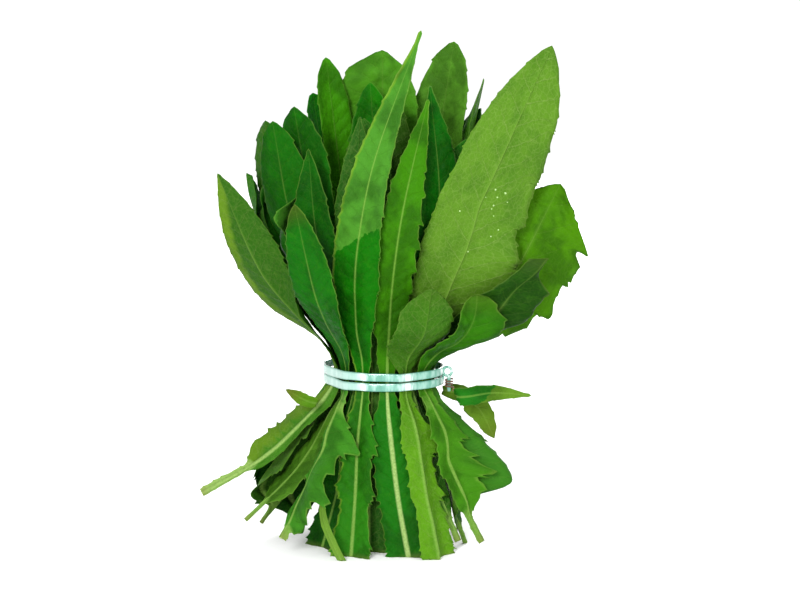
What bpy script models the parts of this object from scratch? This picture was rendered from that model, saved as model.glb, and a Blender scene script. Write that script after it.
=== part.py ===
"""A bunch of leaf chicory, tied at the waist with a clear strap and standing on its cut stalks.

Each leaf is one long piece, from its cut stalk end below the tie to the tip of its blade above it.
The leaves are laid round the bunch one after another, from the middle outwards, and each one is
pressed clear of those that are there already, as when a bunch is gathered in the hand.

Lengths are in millimetres until a mesh is made. The bunch stands on z = 0, the tie's axis is the
z axis, and -y is the front.
"""

import math
from collections import namedtuple

import bmesh
import bpy
import numpy as np
from mathutils import Matrix

MM = 0.001

# The strap: two turns of it, one above the other, joined by a crimp.
STRAP_THICKNESS = 1.5
STRAP_HEIGHT = 4.9
STRAP_GAP = 0.6
STRAP_CORNER = 0.35
STRAP_CLEARANCE = 0.6
STRAP_STEPS = 32
CRIMP_WIDTH = 4.0
CRIMP_RELIEF = 0.5
CRIMP_INSET = 0.3

# The strap's ear and the neck under it, with the wire that is wound round the neck.
TIE_AZIMUTH = -14.0
EAR_RADIUS = 2.6
EAR_TUBE_RADIUS = 0.95
EAR_SIDES = 8
EAR_STEPS = 20
NECK_RADIUS = 1.05
NECK_LENGTH = 9.5
NECK_SIDES = 16
NECK_OVERLAP = 0.5
WIRE_RADIUS = 0.55
WIRE_TURNS = 3
WIRE_STEPS = 12
WIRE_PITCH = 1.55
WIRE_CLEARANCE = 0.35
WIRE_DROP = 2.2
WIRE_TAIL = ((0.2, 0.5), (0.1, 1.6), (-0.3, 2.7))

# Where the tie is, and how thick the bunch is there.
TIE_Z = 98.0
TIE_HALF_HEIGHT = 6.0
WAIST_RADIUS = 34.5
SQUEEZE_REACH = 30.0

# What every leaf shares.
BLADE_THICKNESS = 0.8
STALK_THICKNESS = 2.8
STALK_HALF_WIDTH = 2.6
TIP_RIB_HALF_WIDTH = 1.2
RIB_SHARES = (1.0, 0.75, 0.35)
RIB_NARROWING = 2.5
WAIST_HALF_WIDTH = 5.6
TRIM_DEPTH = 4.0
SHIN_SHARES = (0.44, 0.44, 0.6)
WING_RISE = 24.0
WING_TAPER = 16.0
WRAP = 2.4
LEAST_WRAP_RADIUS = 20.0
RIPPLE_START = 40.0
RIPPLE_LENGTH = 11.0
RIPPLE_OFFSET = 1.9
SKEW_PLACES = (30.0, 50.0)

# The edge, as shares of the step from one tooth or lobe to the next: where the point is, where
# the notch after it is, and how far the point is drawn back.
TOOTH, TOOTH_NOTCH, TOOTH_HOOK = 0.25, 0.85, 0.2
LOBE, LOBE_NOTCH, LOBE_HOOK = 0.2, 0.78, 0.22
LOBE_SPACING = 26.0
EDGE_MARGIN = 8.0
LEAST_BARE = 5.0
TIP_ROWS = (9.0, 6.0, 2.8, 0.0)
TIP_SLOPE = 0.9
FINER_TEETH = 0.6
EDGE_STAGGER = 0.4

# How the leaves are laid against each other.
GRID_ROWS = 20
GRID_COLUMNS = 5
SPINE_STEPS = 400
CLEARANCE = 1.5
MAP_STEP_Z = 2.5
MAP_STEP_ANGLE = 3.0
MAP_BOTTOM = -10.0
MAP_TOP = 320.0
LAYING_PASSES = 14
PUSH_SPREAD = 0.7
SETTLED = 0.1

# name: the node. waist: azimuth in degrees and distance from the axis. tip, mid: points on the
# rib above the tie. foot: the cut end. width: the blade's greatest half width. wing: the same
# below the tie. face: the azimuth that the leaf faces at its foot, waist and tip. blunt: 0 for
# a pointed tip, 1 for a round one. peak: where the blade is widest. fold: how far its halves turn
# up round the rib. wave: how far the edge waves. teeth: on each edge of the blade. depth, notch:
# the share of the half width cut away between two teeth above the tie, and between two below it.
# bare: stalk without wings at the cut end, or WINGED for a leaf cut through its wings. columns:
# of the mesh, across the leaf. skew: how much wider than the other the half on the rib's right
# is, below the tie and above it. A leaf without a waist hangs loose, and its mid is its route.
WINGED = -WING_TAPER
Leaf = namedtuple(
    "Leaf",
    "name waist tip mid foot width wing face blunt peak fold wave teeth depth notch bare columns"
    " skew",
    defaults=((0.0, 0.0),),
)

# In the order in which they are laid, so each may lie outside those before it.
INNER = (
    Leaf("leaf_core_front", (240, 5), (6, -9, 262), (1, -9, 190), (0, 0, 0),
         16, 7, (250, 250, 262), 0.6, 0.6, 0.1, 0.6, 5, 0.1, 0.2, 6, 3),
    Leaf("leaf_core_back", (70, 6), (-7, 11, 268), (-2, 10, 190), (3, 11, 0),
         16, 7, (75, 70, 84), 0.6, 0.6, -0.1, 0.6, 5, 0.1, 0.2, 8, 3),
    Leaf("leaf_upright", (146, 16), (-33, 19, 282), (-25, 17, 214), (-18, 18, 0),
         11.5, 8, (146, 146, 120), 1.0, 0.62, -0.1, 0.6, 5, 0.08, 0.2, 6, 5),
    Leaf("leaf_broad_back", (98, 16), (0, 24, 286), (0, 22, 212), (2, 24, 0),
         21, 8, (98, 98, 94), 1.0, 0.62, -0.1, 1.0, 6, 0.07, 0.2, 6, 5),
    Leaf("leaf_back_right", (48, 16), (42, 24, 291), (30, 22, 214), (19, 18, 0),
         19, 8, (48, 48, 62), 0.8, 0.62, -0.1, 1.0, 6, 0.08, 0.25, 6, 5),
    Leaf("leaf_front_inner", (254, 17.5), (-10, -26, 250), (-9, -26, 200), (-8, -28, 0),
         17, 10, (254, 254, 262), 0.5, 0.55, 0.0, 0.8, 5, 0.1, 0.2, WINGED, 3),
    Leaf("leaf_right_inner", (308, 17.5), (48, -24, 238), (34, -24, 190), (20, -20, 0),
         17, 10, (308, 308, 300), 0.5, 0.55, 0.1, 0.8, 5, 0.1, 0.2, WINGED, 3),
    Leaf("leaf_left_inner", (200, 17.5), (-50, -18, 256), (-41, -16, 203), (-29, -12, 0),
         19, 11, (200, 200, 235), 0.9, 0.6, 0.1, 0.8, 5, 0.08, 0.2, WINGED, 5),
    Leaf("leaf_curled", (2, 17.5), (59, 14, 270), (45, 8, 206), (26, 3, 0),
         12, 8, (2, 2, 10), 0.8, 0.6, -0.2, 1.5, 5, 0.1, 0.2, 6, 3),
)
SECOND = (
    Leaf("leaf_front_second", (254, 25), (-12, -42, 252), (-14, -44, 190), (-8, -38, 0),
         14, 12, (254, 254, 262), 0.2, 0.5, 0.15, 0.8, 6, 0.08, 0.3, WINGED, 3),
    Leaf("leaf_dark", (285, 25), (27, -36, 269), (32, -42, 196), (21, -38, 0),
         15, 12, (285, 285, 288), 0.15, 0.5, 0.15, 0.8, 6, 0.08, 0.2, WINGED, 5),
    Leaf("leaf_left_mid", (224, 25), (-41, -42, 234), (-37, -42, 188), (-36, -28, 0),
         15, 12, (224, 224, 248), 0.15, 0.5, 0.25, 0.8, 6, 0.08, 0.3, WINGED, 5),
    Leaf("leaf_left_second", (194, 25), (-62, -22, 248), (-52, -18, 190), (-80, -22, 15),
         17, 13.5, (200, 214, 244), 0.8, 0.58, 0.0, 0.8, 5, 0.1, 0.3, 14, 5),
    Leaf("leaf_left_back", (164, 25), (-68, 8, 246), (-59, 8, 184), (-72, -2, 8),
         18, 13, (176, 190, 235), 0.9, 0.58, -0.1, 0.8, 6, 0.08, 0.3, 14, 5),
)
OUTER = (
    Leaf("leaf_frilled", (350, 32), (102, -20, 212), (74, -20, 158), (70, -10, 40),
         34, 8, (335, 298, 270), 0.9, 0.58, 0.05, 3.0, 6, 0.26, 0.2, 34, 5),
    Leaf("leaf_broad_right", (317, 26), (94, -54, 292), (66, -50, 228), (44, -32, 5),
         27, 10, (317, 304, 284), 0.45, 0.52, 0.05, 1.2, 6, 0.05, 0.25, 14, 5, (0.0, 0.1)),
    Leaf("leaf_right_mid", (338, 29), (70, -31, 172), (53, -27, 142), (50, -18, 0),
         12, 8, (335, 330, 300), 0.1, 0.5, 0.1, 0.8, 5, 0.1, 0.2, 12, 5),
    Leaf("leaf_scalloped", (276, 33), (26, -46, 262), (10, -58, 190), (16, -50, 0),
         12.5, 11.5, (268, 272, 272), 0.1, 0.45, 0.15, 1.2, 10, 0.22, 0.12, WINGED, 5),
    Leaf("leaf_tall", (246, 32.5), (22, -46, 300), (-8, -60, 212), (-18, -49, 0),
         13.5, 11.5, (252, 247, 262), 0.0, 0.34, 0.3, 0.8, 8, 0.07, 0.25, WINGED, 5),
    Leaf("leaf_petiole", None, None,
         ((-21, -55, -4), (-27, -58, 9), (-33, -56, 24), (-34, -50, 44)), None,
         2.4, 2.4, (262, 255, 250), 0.1, 0.5, 0.0, 0.0, 1, 0.0, 0.2, 0, 3),
    Leaf("leaf_front_left", (220, 32.5), (-48, -62, 205), (-38, -54, 156), (-58, -54, 13),
         14, 13, (256, 224, 250), 0.5, 0.5, 0.1, 0.8, 6, 0.05, 0.5, 5, 5, (0.65, 0.0)),
    Leaf("leaf_left", (194, 32.5), (-93, -30, 219), (-70, -27, 164), (-105, -20, 30),
         19, 10, (226, 220, 246), 0.1, 0.5, -0.15, 1.0, 7, 0.05, 0.15, 30, 5, (-0.5, 0.0)),
    Leaf("leaf_short_front", (298, 33), (28, -62, 158), (24, -54, 132), (29, -48, 0),
         17, 11, (288, 297, 282), 0.9, 0.36, -0.05, 0.8, 4, 0.06, 0.25, WINGED, 5, (0.3, 0.0)),
    Leaf("leaf_short_right", (323, 32.5), (52, -44, 152), (46, -38, 130), (58, -30, 4),
         12, 8, (320, 314, 298), 0.7, 0.4, -0.05, 0.8, 4, 0.1, 0.3, 16, 3),
)

# The back of the bunch, in two rings: name, ring's distance from the axis at the waist, azimuths
# there, distance from the axis at the tip and at the foot, and the tip's height.
BACK_RINGS = (
    ("leaf_back_mid", 25.0, (136, 105, 73, 43, 16), 52.0, 35.0, 246.0),
    ("leaf_back_outer", 32.5, (164, 139, 115, 91, 67, 42, 16), 78.0, 50.0, 224.0),
)
BACK_SEED = 7
BACK_TURNS = (5.0, 2.0, 3.0)
BACK_LEAN = 8.0
BACK_TALL = 26.0
BACK_BELLY = 0.62
BACK_BELLY_RISE = 4.0
BACK_FOOT_SPREAD = 5.0
BACK_HIGH_FOOT = 4.0

# Short leaves that are tucked under the tie and hang out below it, as a route for the rib.
DROOPING = (
    Leaf("leaf_droop_right", None, None,
         ((38, -16, 88), (45, -20, 88), (64, -23, 91), (86, -26, 90)), None,
         5.8, 4.0, (310, 296, 285), 0.1, 0.3, 0.1, 0.4, 3, 0.08, 0.2, 0, 3),
    Leaf("leaf_droop_ragged", None, None,
         ((35, 5, 87), (46, 4, 85), (57, 2, 76), (66, 0, 59)), None,
         8.0, 2.6, (335, 315, 298), 0.3, 0.55, 0.1, 0.6, 2, 0.25, 0.2, 0, 3),
    Leaf("leaf_droop_left", None, None,
         ((-38, -19, 84), (-44, -21, 86), (-50, -20, 89), (-56, -18, 92)), None,
         4.2, 3.0, (225, 240, 250), 0.1, 0.4, 0.1, 0.4, 2, 0.1, 0.2, 0, 3),
)


def azimuth_vector(degrees):
    """The level direction at an azimuth, counted from +x towards +y."""
    angle = math.radians(degrees)
    return np.array([math.cos(angle), math.sin(angle), 0.0])


def back_leaves(ring):
    """The leaves of one of the back rings, each a little unlike the next."""
    name, waist_r, azimuths, tip_r, foot_r, tip_z = BACK_RINGS[ring]
    rng = np.random.default_rng(BACK_SEED + ring)
    made = []
    for i, azimuth in enumerate(azimuths):
        lean, turn, tall, spread = rng.uniform(-1, 1, 4)
        tip_turn, mid_turn, foot_turn = [azimuth + turn * most for most in BACK_TURNS]
        tip = azimuth_vector(tip_turn) * (tip_r + BACK_LEAN * lean)
        tip[2] = tip_z + BACK_TALL * tall
        mid = azimuth_vector(mid_turn) * (waist_r + BACK_BELLY * (tip_r - waist_r))
        mid[2] = 0.5 * (TIE_Z + tip[2]) + BACK_BELLY_RISE
        foot = azimuth_vector(2 * azimuth - foot_turn) * (foot_r + BACK_FOOT_SPREAD * spread)
        foot[2] = 0.0 if i % 3 != 1 else BACK_HIGH_FOOT * (1 + abs(spread))
        made.append(
            Leaf(f"{name}_{i + 1}", (azimuth, waist_r), tuple(tip), tuple(mid), tuple(foot),
                 16 + 4 * abs(lean), 9, (azimuth, azimuth, azimuth + 10 * turn),
                 0.5 + 0.4 * turn, 0.56, -0.1, 1.2, 4, 0.08 + 0.06 * abs(spread), 0.2,
                 6 + 5 * abs(turn), 5)
        )
    return made


def spine_through(points, count):
    """Evenly spaced points on a smooth curve through the given ones, and the spacing's total."""
    p = np.array(points, float)
    knots = np.concatenate([[0.0], np.cumsum(np.linalg.norm(np.diff(p, axis=0), axis=1))])
    slopes = np.gradient(p, knots, axis=0)
    fine = np.linspace(0, knots[-1], SPINE_STEPS)
    i = np.clip(np.searchsorted(knots, fine, side="right") - 1, 0, len(p) - 2)
    span = (knots[i + 1] - knots[i])[:, None]
    t = (fine - knots[i])[:, None] / span
    curve = (
        (2 * t**3 - 3 * t**2 + 1) * p[i]
        + (t**3 - 2 * t**2 + t) * span * slopes[i]
        + (3 * t**2 - 2 * t**3) * p[i + 1]
        + (t**3 - t**2) * span * slopes[i + 1]
    )
    along = np.concatenate([[0.0], np.cumsum(np.linalg.norm(np.diff(curve, axis=0), axis=1))])
    even = np.linspace(0, along[-1], count)
    return np.stack([np.interp(even, along, curve[:, a]) for a in range(3)], 1), along[-1]


def spine_points(leaf):
    """The route of a leaf's rib: cut end, shin, straight through the tie, and up to the tip."""
    if leaf.waist is None:
        return leaf.mid
    out = azimuth_vector(leaf.waist[0]) * leaf.waist[1]
    foot = np.array(leaf.foot, float)
    if foot[2] < 1.0:
        foot[2] = -TRIM_DEPTH
    low = out + [0, 0, TIE_Z - TIE_HALF_HEIGHT - 1]
    high = out + [0, 0, TIE_Z + TIE_HALF_HEIGHT]
    shin = low + (foot - low) * SHIN_SHARES
    return [foot, shin, low, high, leaf.mid, leaf.tip]


def smooth_step(t):
    """0 up to t = 0 and 1 from t = 1, with a smooth rise between."""
    t = np.clip(t, 0, 1)
    return t * t * (3 - 2 * t)


def half_width(leaf, above, top, bottom):
    """Half the leaf's width, teeth included, at distances above (or, negative, below) the tie."""
    root = WAIST_HALF_WIDTH if leaf.waist else leaf.wing
    clear = TIE_HALF_HEIGHT if leaf.waist else 0.0
    up = np.clip((above - clear) / (top - clear), 0, 1)
    rise = root + (leaf.width - root) * np.sin(np.clip(up / leaf.peak, 0, 1) * math.pi / 2)
    past = np.clip((up - leaf.peak) / (1 - leaf.peak), 0, 1)
    fall = np.maximum(1 - past ** (1.6 + 1.4 * leaf.blunt), 0) ** (1 - 0.5 * leaf.blunt)
    blade = np.where(up < leaf.peak, rise, leaf.width * fall)
    down = np.clip(-above - clear, 0, None)
    winged = max(bottom - clear - leaf.bare, 1.0)
    wing = root + (leaf.wing - root) * smooth_step(down / WING_RISE)
    taper = smooth_step((winged - down) / WING_TAPER)
    wing = STALK_HALF_WIDTH + (wing - STALK_HALF_WIDTH) * taper
    blade = np.minimum(blade, TIP_RIB_HALF_WIDTH + TIP_SLOPE * (top - above))
    return np.maximum(np.where(above > 0, blade, wing), TIP_RIB_HALF_WIDTH)


def face_grid(leaf):
    """Control points of the leaf's smooth middle surface, before it is pressed by the others,
    with its half width at each row, its length, and how far up it the tie is."""
    rib, length = spine_through(spine_points(leaf), GRID_ROWS)
    along = np.linspace(0, length, GRID_ROWS)
    waist = np.interp(TIE_Z, rib[:, 2], along) if leaf.waist else 0.0
    above = along - waist
    width = half_width(leaf, above, length - waist, waist)
    tangent = np.gradient(rib, along, axis=0)
    tangent /= np.linalg.norm(tangent, axis=1)[:, None]
    azimuth = np.interp(above, [-waist - 1, 0, length - waist], leaf.face)
    facing = np.array([azimuth_vector(a) for a in azimuth])
    normal = facing - (facing * tangent).sum(1)[:, None] * tangent
    normal /= np.linalg.norm(normal, axis=1)[:, None]
    across = np.cross(tangent, normal)
    distance = np.linalg.norm(rib[:, :2], axis=1)
    wrap = 1 / (WRAP * np.maximum(distance, LEAST_WRAP_RADIUS))
    ripple = leaf.wave * np.clip(above / RIPPLE_START, 0, 1)
    skewed = [-SKEW_PLACES[0], -TIE_HALF_HEIGHT, TIE_HALF_HEIGHT, SKEW_PLACES[1]]
    skew = np.interp(above, skewed, [leaf.skew[0], 0.0, 0.0, leaf.skew[1]])
    grid = np.zeros((GRID_ROWS, GRID_COLUMNS, 3))
    for k, v in enumerate(np.linspace(-1, 1, GRID_COLUMNS)):
        side = v * width * (1 + skew * np.sign(v))
        lift = leaf.fold * np.abs(side) - wrap * side**2
        phase = along / RIPPLE_LENGTH + (RIPPLE_OFFSET if v > 0 else 0.0)
        lift += ripple * v**2 * np.sin(phase)
        grid[:, k] = rib + across * side[:, None] + normal * lift[:, None]
    return grid, width, length, waist


def weights(t):
    """Catmull-Rom weights of four points in a row, at a place t between the middle two."""
    return np.stack(
        [-t**3 + 2 * t**2 - t, 3 * t**3 - 5 * t**2 + 2, -3 * t**3 + 4 * t**2 + t, t**3 - t**2],
        -1,
    ) / 2


def surface(grid, u, v):
    """Points of a leaf's middle surface: u is 0 at the cut end, 1 at the tip; v is -1 to 1."""
    rows, columns = grid.shape[:2]
    wide = np.concatenate([2 * grid[:1] - grid[1:2], grid, 2 * grid[-1:] - grid[-2:-1]])
    wide = np.concatenate(
        [2 * wide[:, :1] - wide[:, 1:2], wide, 2 * wide[:, -1:] - wide[:, -2:-1]], axis=1
    )
    a = np.clip(u, 0, 1) * (rows - 1)
    b = (np.clip(v, -1, 1) + 1) / 2 * (columns - 1)
    i = np.minimum(a.astype(int), rows - 2)
    k = np.minimum(b.astype(int), columns - 2)
    by_row, by_column = weights(a - i), weights(b - k)
    total = np.zeros(np.shape(u) + (3,))
    for p in range(4):
        for q in range(4):
            share = by_row[..., p] * by_column[..., q]
            total += wide[i + p, k + q] * share[..., None]
    return total


def map_cells(points):
    """Which cell of the map round the axis each point lies in, and its distance from the axis."""
    angle = np.degrees(np.arctan2(points[..., 1], points[..., 0])) % 360
    column = (angle / MAP_STEP_ANGLE).astype(int) % int(360 / MAP_STEP_ANGLE)
    row = ((points[..., 2] - MAP_BOTTOM) / MAP_STEP_Z).astype(int)
    row = np.clip(row, 0, int((MAP_TOP - MAP_BOTTOM) / MAP_STEP_Z) - 1)
    return row, column, np.hypot(points[..., 0], points[..., 1])


def stalk_relief(v):
    """How far the stalk or rib stands out of the middle surface, across the leaf."""
    return np.clip(1 - np.abs(v) * RIB_NARROWING, 0, 1) * (STALK_THICKNESS / 2)


def lay_leaves(grids):
    """Presses each leaf's grid outwards until it clears every leaf that was laid before it."""
    map_rows = int((MAP_TOP - MAP_BOTTOM) / MAP_STEP_Z)
    taken = np.zeros((map_rows, int(360 / MAP_STEP_ANGLE)))
    u, v = np.meshgrid(np.linspace(0, 1, 160), np.linspace(-1, 1, 41), indexing="ij")
    near_row = np.rint(u * (GRID_ROWS - 1)).astype(int)
    near_column = np.rint((v + 1) / 2 * (GRID_COLUMNS - 1)).astype(int)
    stalk = stalk_relief(v)
    for grid in grids:
        blocked = np.maximum(np.maximum(np.roll(taken, 1, 1), np.roll(taken, -1, 1)), taken)
        blocked[1:] = np.maximum(blocked[1:], blocked[:-1])
        for _ in range(LAYING_PASSES):
            points = surface(grid, u, v)
            row, column, distance = map_cells(points)
            short = blocked[row, column] + CLEARANCE + stalk - distance
            short = np.where(blocked[row, column] > 0, np.maximum(short, 0), 0)
            if short.max() < SETTLED:
                break
            push = np.zeros((GRID_ROWS, GRID_COLUMNS))
            np.maximum.at(push, (near_row, near_column), short)
            spread = np.pad(push, 1, mode="edge")
            around = (
                spread[:-2, 1:-1] + spread[2:, 1:-1] + spread[1:-1, :-2] + spread[1:-1, 2:]
            ) / 4
            push = np.maximum(push, PUSH_SPREAD * around)
            level = np.linalg.norm(grid[..., :2], axis=-1)
            grid[..., :2] *= (1 + push / np.maximum(level, 0.5))[..., None]
        points = surface(grid, u, v)
        row, column, distance = map_cells(points)
        np.maximum.at(taken, (row, column), distance + BLADE_THICKNESS / 2 + stalk)
    return grids


def widest_at_tie(grids):
    """The greatest distance from the axis of any leaf's outer face, inside the tie."""
    u, v = np.meshgrid(np.linspace(0, 1, 600), np.linspace(-1, 1, 17), indexing="ij")
    relief = np.maximum(BLADE_THICKNESS / 2, stalk_relief(v))
    widest = 0.0
    for grid in grids:
        points = surface(grid, u, v)
        distance = np.hypot(points[..., 0], points[..., 1]) + relief
        held = np.abs(points[..., 2] - TIE_Z) < TIE_HALF_HEIGHT + 0.5
        if held.any():
            widest = max(widest, distance[held].max())
    return widest


def squeeze_waist(grids):
    """Draws the leaves in to the tie's radius, most at the tie and less above and below it."""
    factor = min(WAIST_RADIUS / widest_at_tie(grids), 1.0)
    for grid in grids:
        reach = (np.abs(grid[..., 2] - TIE_Z) - TIE_HALF_HEIGHT) / SQUEEZE_REACH
        grid[..., :2] *= (factor + (1 - factor) * smooth_step(reach))[..., None]


def leaf_rows(leaf, length, waist):
    """The mesh's rows: distance from the cut end, the share of the half width that the edge
    reaches, and how far the edge is drawn back towards the cut end."""
    rows = [(0.0, 1.0, 0.0)]
    first = EDGE_MARGIN / 2
    if leaf.waist:
        stalk = max(leaf.bare, LEAST_BARE)
        rows.append((max(stalk * 0.8, 5.0), 1.0, 0.0))
        lobed_from = stalk + EDGE_MARGIN
        lobed_to = waist - TIE_HALF_HEIGHT - EDGE_MARGIN / 2
        lobes = max(round((lobed_to - lobed_from) / LOBE_SPACING), 1)
        step = (lobed_to - lobed_from) / lobes
        for n in range(lobes):
            start = lobed_from + step * n
            rows.append((start + LOBE * step, 1.0, LOBE_HOOK * step))
            rows.append((start + LOBE_NOTCH * step, 1 - leaf.notch, 0.0))
        rows.append((waist - TIE_HALF_HEIGHT - 1, 1.0, 0.0))
        rows.append((waist + TIE_HALF_HEIGHT + 1, 1.0, 0.0))
        first = waist + TIE_HALF_HEIGHT + EDGE_MARGIN
    step = (length - TIP_ROWS[0] - first) / leaf.teeth
    for n in range(leaf.teeth):
        start = first + step * n
        depth = leaf.depth * (1 - FINER_TEETH * n / leaf.teeth)
        rows.append((start + TOOTH * step, 1.0, TOOTH_HOOK * step))
        rows.append((start + TOOTH_NOTCH * step, 1 - depth, 0.0))
    rows += [(length - before, 1.0, 0.0) for before in TIP_ROWS[1:]]
    return rows


def leaf_object(leaf, grid, width, length, waist, collection, leaf_material):
    """One leaf: a toothed sheet on its smooth surface, thickened, with a stalk and rib."""
    rows = leaf_rows(leaf, length, waist)
    columns = leaf.columns
    sheet = bmesh.new()
    bmesh.ops.create_grid(sheet, x_segments=len(rows) - 1, y_segments=columns - 1, size=1.0)
    ordered = sorted(sheet.verts, key=lambda p: (round(p.co.x, 4), round(p.co.y, 4)))
    along = np.linspace(0, length, GRID_ROWS)
    for n, vert in enumerate(ordered):
        place, reach, hook = rows[n // columns]
        v = 2 * (n % columns) / (columns - 1) - 1
        on_grid = np.interp(place, along, width)
        exact = half_width(leaf, place - waist, length - waist, waist)
        half = min(exact, on_grid)
        stalk = np.interp(place, [0, length], [STALK_HALF_WIDTH, TIP_RIB_HALF_WIDTH])
        edge = max(reach, min(stalk / half, 1.0)) * half / on_grid
        shift = hook * (1 + EDGE_STAGGER * v) * v**2
        u = (place - shift) / length
        vert.co = surface(grid, np.array(u), np.array(v * edge)) * MM
        vert.index = n
    bmesh.ops.triangulate(sheet, faces=sheet.faces[:], quad_method="FIXED")
    sheet.verts.sort()
    mesh = bpy.data.meshes.new(leaf.name)
    sheet.to_mesh(mesh)
    sheet.free()
    obj = bpy.data.objects.new(leaf.name, mesh)
    collection.objects.link(obj)
    group = obj.vertex_groups.new(name="rib")
    for n in range(len(mesh.vertices)):
        place = rows[n // columns][0]
        rib = np.interp(place, [0, max(waist, 1.0), length], RIB_SHARES)
        on_rib = n % columns == columns // 2
        group.add([n], rib if on_rib else BLADE_THICKNESS / STALK_THICKNESS, "REPLACE")
    thick = obj.modifiers.new("thickness", "SOLIDIFY")
    thick.thickness = STALK_THICKNESS * MM
    thick.offset = 0.0
    thick.vertex_group = "rib"
    obj.data.materials.append(leaf_material)
    return obj


def cut_level(obj):
    """Applies the leaf's thickness and cuts its stalk level with the surface it stands on."""
    graph = bpy.context.evaluated_depsgraph_get()
    mesh = bpy.data.meshes.new_from_object(obj.evaluated_get(graph))
    obj.modifiers.clear()
    obj.vertex_groups.clear()
    sheet = obj.data
    obj.data = mesh
    bpy.data.meshes.remove(sheet)
    shape = bmesh.new()
    shape.from_mesh(mesh)
    everything = shape.verts[:] + shape.edges[:] + shape.faces[:]
    cut = bmesh.ops.bisect_plane(
        shape, geom=everything, plane_co=(0, 0, 0), plane_no=(0, 0, -1), clear_outer=True
    )
    rim = [e for e in cut["geom_cut"] if isinstance(e, bmesh.types.BMEdge)]
    if rim:
        bmesh.ops.edgenet_fill(shape, edges=rim)
    bmesh.ops.recalc_face_normals(shape, faces=shape.faces[:])
    shape.to_mesh(mesh)
    shape.free()


def material(name, colour, roughness):
    """A plain material."""
    made = bpy.data.materials.new(name)
    made.use_nodes = True
    shader = made.node_tree.nodes["Principled BSDF"]
    shader.inputs["Base Color"].default_value = (*colour, 1.0)
    shader.inputs["Roughness"].default_value = roughness
    return made


def joined(target, others, scratch):
    """Joins the others, which are all that scratch holds, to the target, and removes them."""
    union = target.modifiers.new("union", "BOOLEAN")
    union.operation = "UNION"
    union.operand_type = "COLLECTION"
    union.collection = scratch
    union.solver = "MANIFOLD"
    graph = bpy.context.evaluated_depsgraph_get()
    mesh = bpy.data.meshes.new_from_object(target.evaluated_get(graph))
    target.modifiers.clear()
    target.data = mesh
    for other in others:
        bpy.data.objects.remove(other)
    bpy.data.collections.remove(scratch)


def shape_of(name, maker, matrix, collection, own_material, **sizes):
    """An object made by one of bmesh's primitive operators, placed by a matrix in metres."""
    shape = bmesh.new()
    maker(shape, matrix=matrix, **sizes)
    mesh = bpy.data.meshes.new(name)
    shape.to_mesh(mesh)
    shape.free()
    obj = bpy.data.objects.new(name, mesh)
    obj.data.materials.append(own_material)
    collection.objects.link(obj)
    return obj


def screwed(name, profile, steps, collection, own_material):
    """A closed ring: a profile of (radius, height) points in millimetres, turned about z."""
    mesh = bpy.data.meshes.new(name)
    edges = [(n, (n + 1) % len(profile)) for n in range(len(profile))]
    mesh.from_pydata([(x * MM, 0.0, z * MM) for x, z in profile], edges, [])
    obj = bpy.data.objects.new(name, mesh)
    obj.data.materials.append(own_material)
    collection.objects.link(obj)
    turn = obj.modifiers.new("turn", "SCREW")
    turn.axis = "Z"
    turn.steps = steps
    turn.render_steps = steps
    turn.use_merge_vertices = True
    turn.merge_threshold = 0.00001
    turn.use_smooth_shade = False
    turn.use_normal_calculate = True
    return obj


def tie_frame(radius, height):
    """Where the tie's ends are: x outwards, y along the strap, z up, in metres."""
    at = azimuth_vector(TIE_AZIMUTH) * radius * MM
    return Matrix.Translation((at[0], at[1], height * MM)) @ Matrix.Rotation(
        math.radians(TIE_AZIMUTH), 4, "Z"
    )


def strap(collection, scratch, inner_radius, clear_plastic):
    """The strap: two turns, one above the other, a crimp that joins them, and an ear with a neck
    for the wire to be wound round."""
    outer_radius = inner_radius + STRAP_THICKNESS
    half_h, cut = STRAP_HEIGHT / 2, STRAP_CORNER
    rings = []
    for name, sign in (("tie_strap", 1), ("lower_turn", -1)):
        z = TIE_Z + sign * (half_h + STRAP_GAP / 2)
        profile = [
            (inner_radius, z - half_h + cut), (inner_radius + cut, z - half_h),
            (outer_radius - cut, z - half_h), (outer_radius, z - half_h + cut),
            (outer_radius, z + half_h - cut), (outer_radius - cut, z + half_h),
            (inner_radius + cut, z + half_h), (inner_radius, z + half_h - cut),
        ]
        home = collection if sign > 0 else scratch
        rings.append(screwed(name, profile, STRAP_STEPS, home, clear_plastic))
    crimp_height = 2 * (STRAP_HEIGHT - CRIMP_INSET)
    crimp_size = Matrix.Diagonal(
        ((STRAP_THICKNESS + CRIMP_RELIEF) * MM, CRIMP_WIDTH * MM, crimp_height * MM, 1.0)
    )
    crimp_frame = tie_frame(inner_radius + CRIMP_INSET + STRAP_THICKNESS / 2, TIE_Z)
    crimp = shape_of("crimp", bmesh.ops.create_cube, crimp_frame @ crimp_size, scratch,
                     clear_plastic, size=1.0)
    neck_radius = outer_radius + CRIMP_RELIEF + NECK_RADIUS + 2 * WIRE_CLEARANCE + 2 * WIRE_RADIUS
    ear_height = TIE_Z + half_h + STRAP_GAP
    ear = ring_object("ear", tie_frame(neck_radius - EAR_TUBE_RADIUS, ear_height), scratch,
                      clear_plastic)
    neck_top = ear_height - EAR_RADIUS + NECK_OVERLAP
    neck = shape_of(
        "neck", bmesh.ops.create_cone, tie_frame(neck_radius, neck_top - NECK_LENGTH / 2), scratch,
        clear_plastic, cap_ends=True, segments=NECK_SIDES, radius1=NECK_RADIUS * MM,
        radius2=NECK_RADIUS * MM, depth=NECK_LENGTH * MM,
    )
    joined(rings[0], [rings[1], crimp, ear, neck], scratch)
    return neck_radius, neck_top


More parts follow.
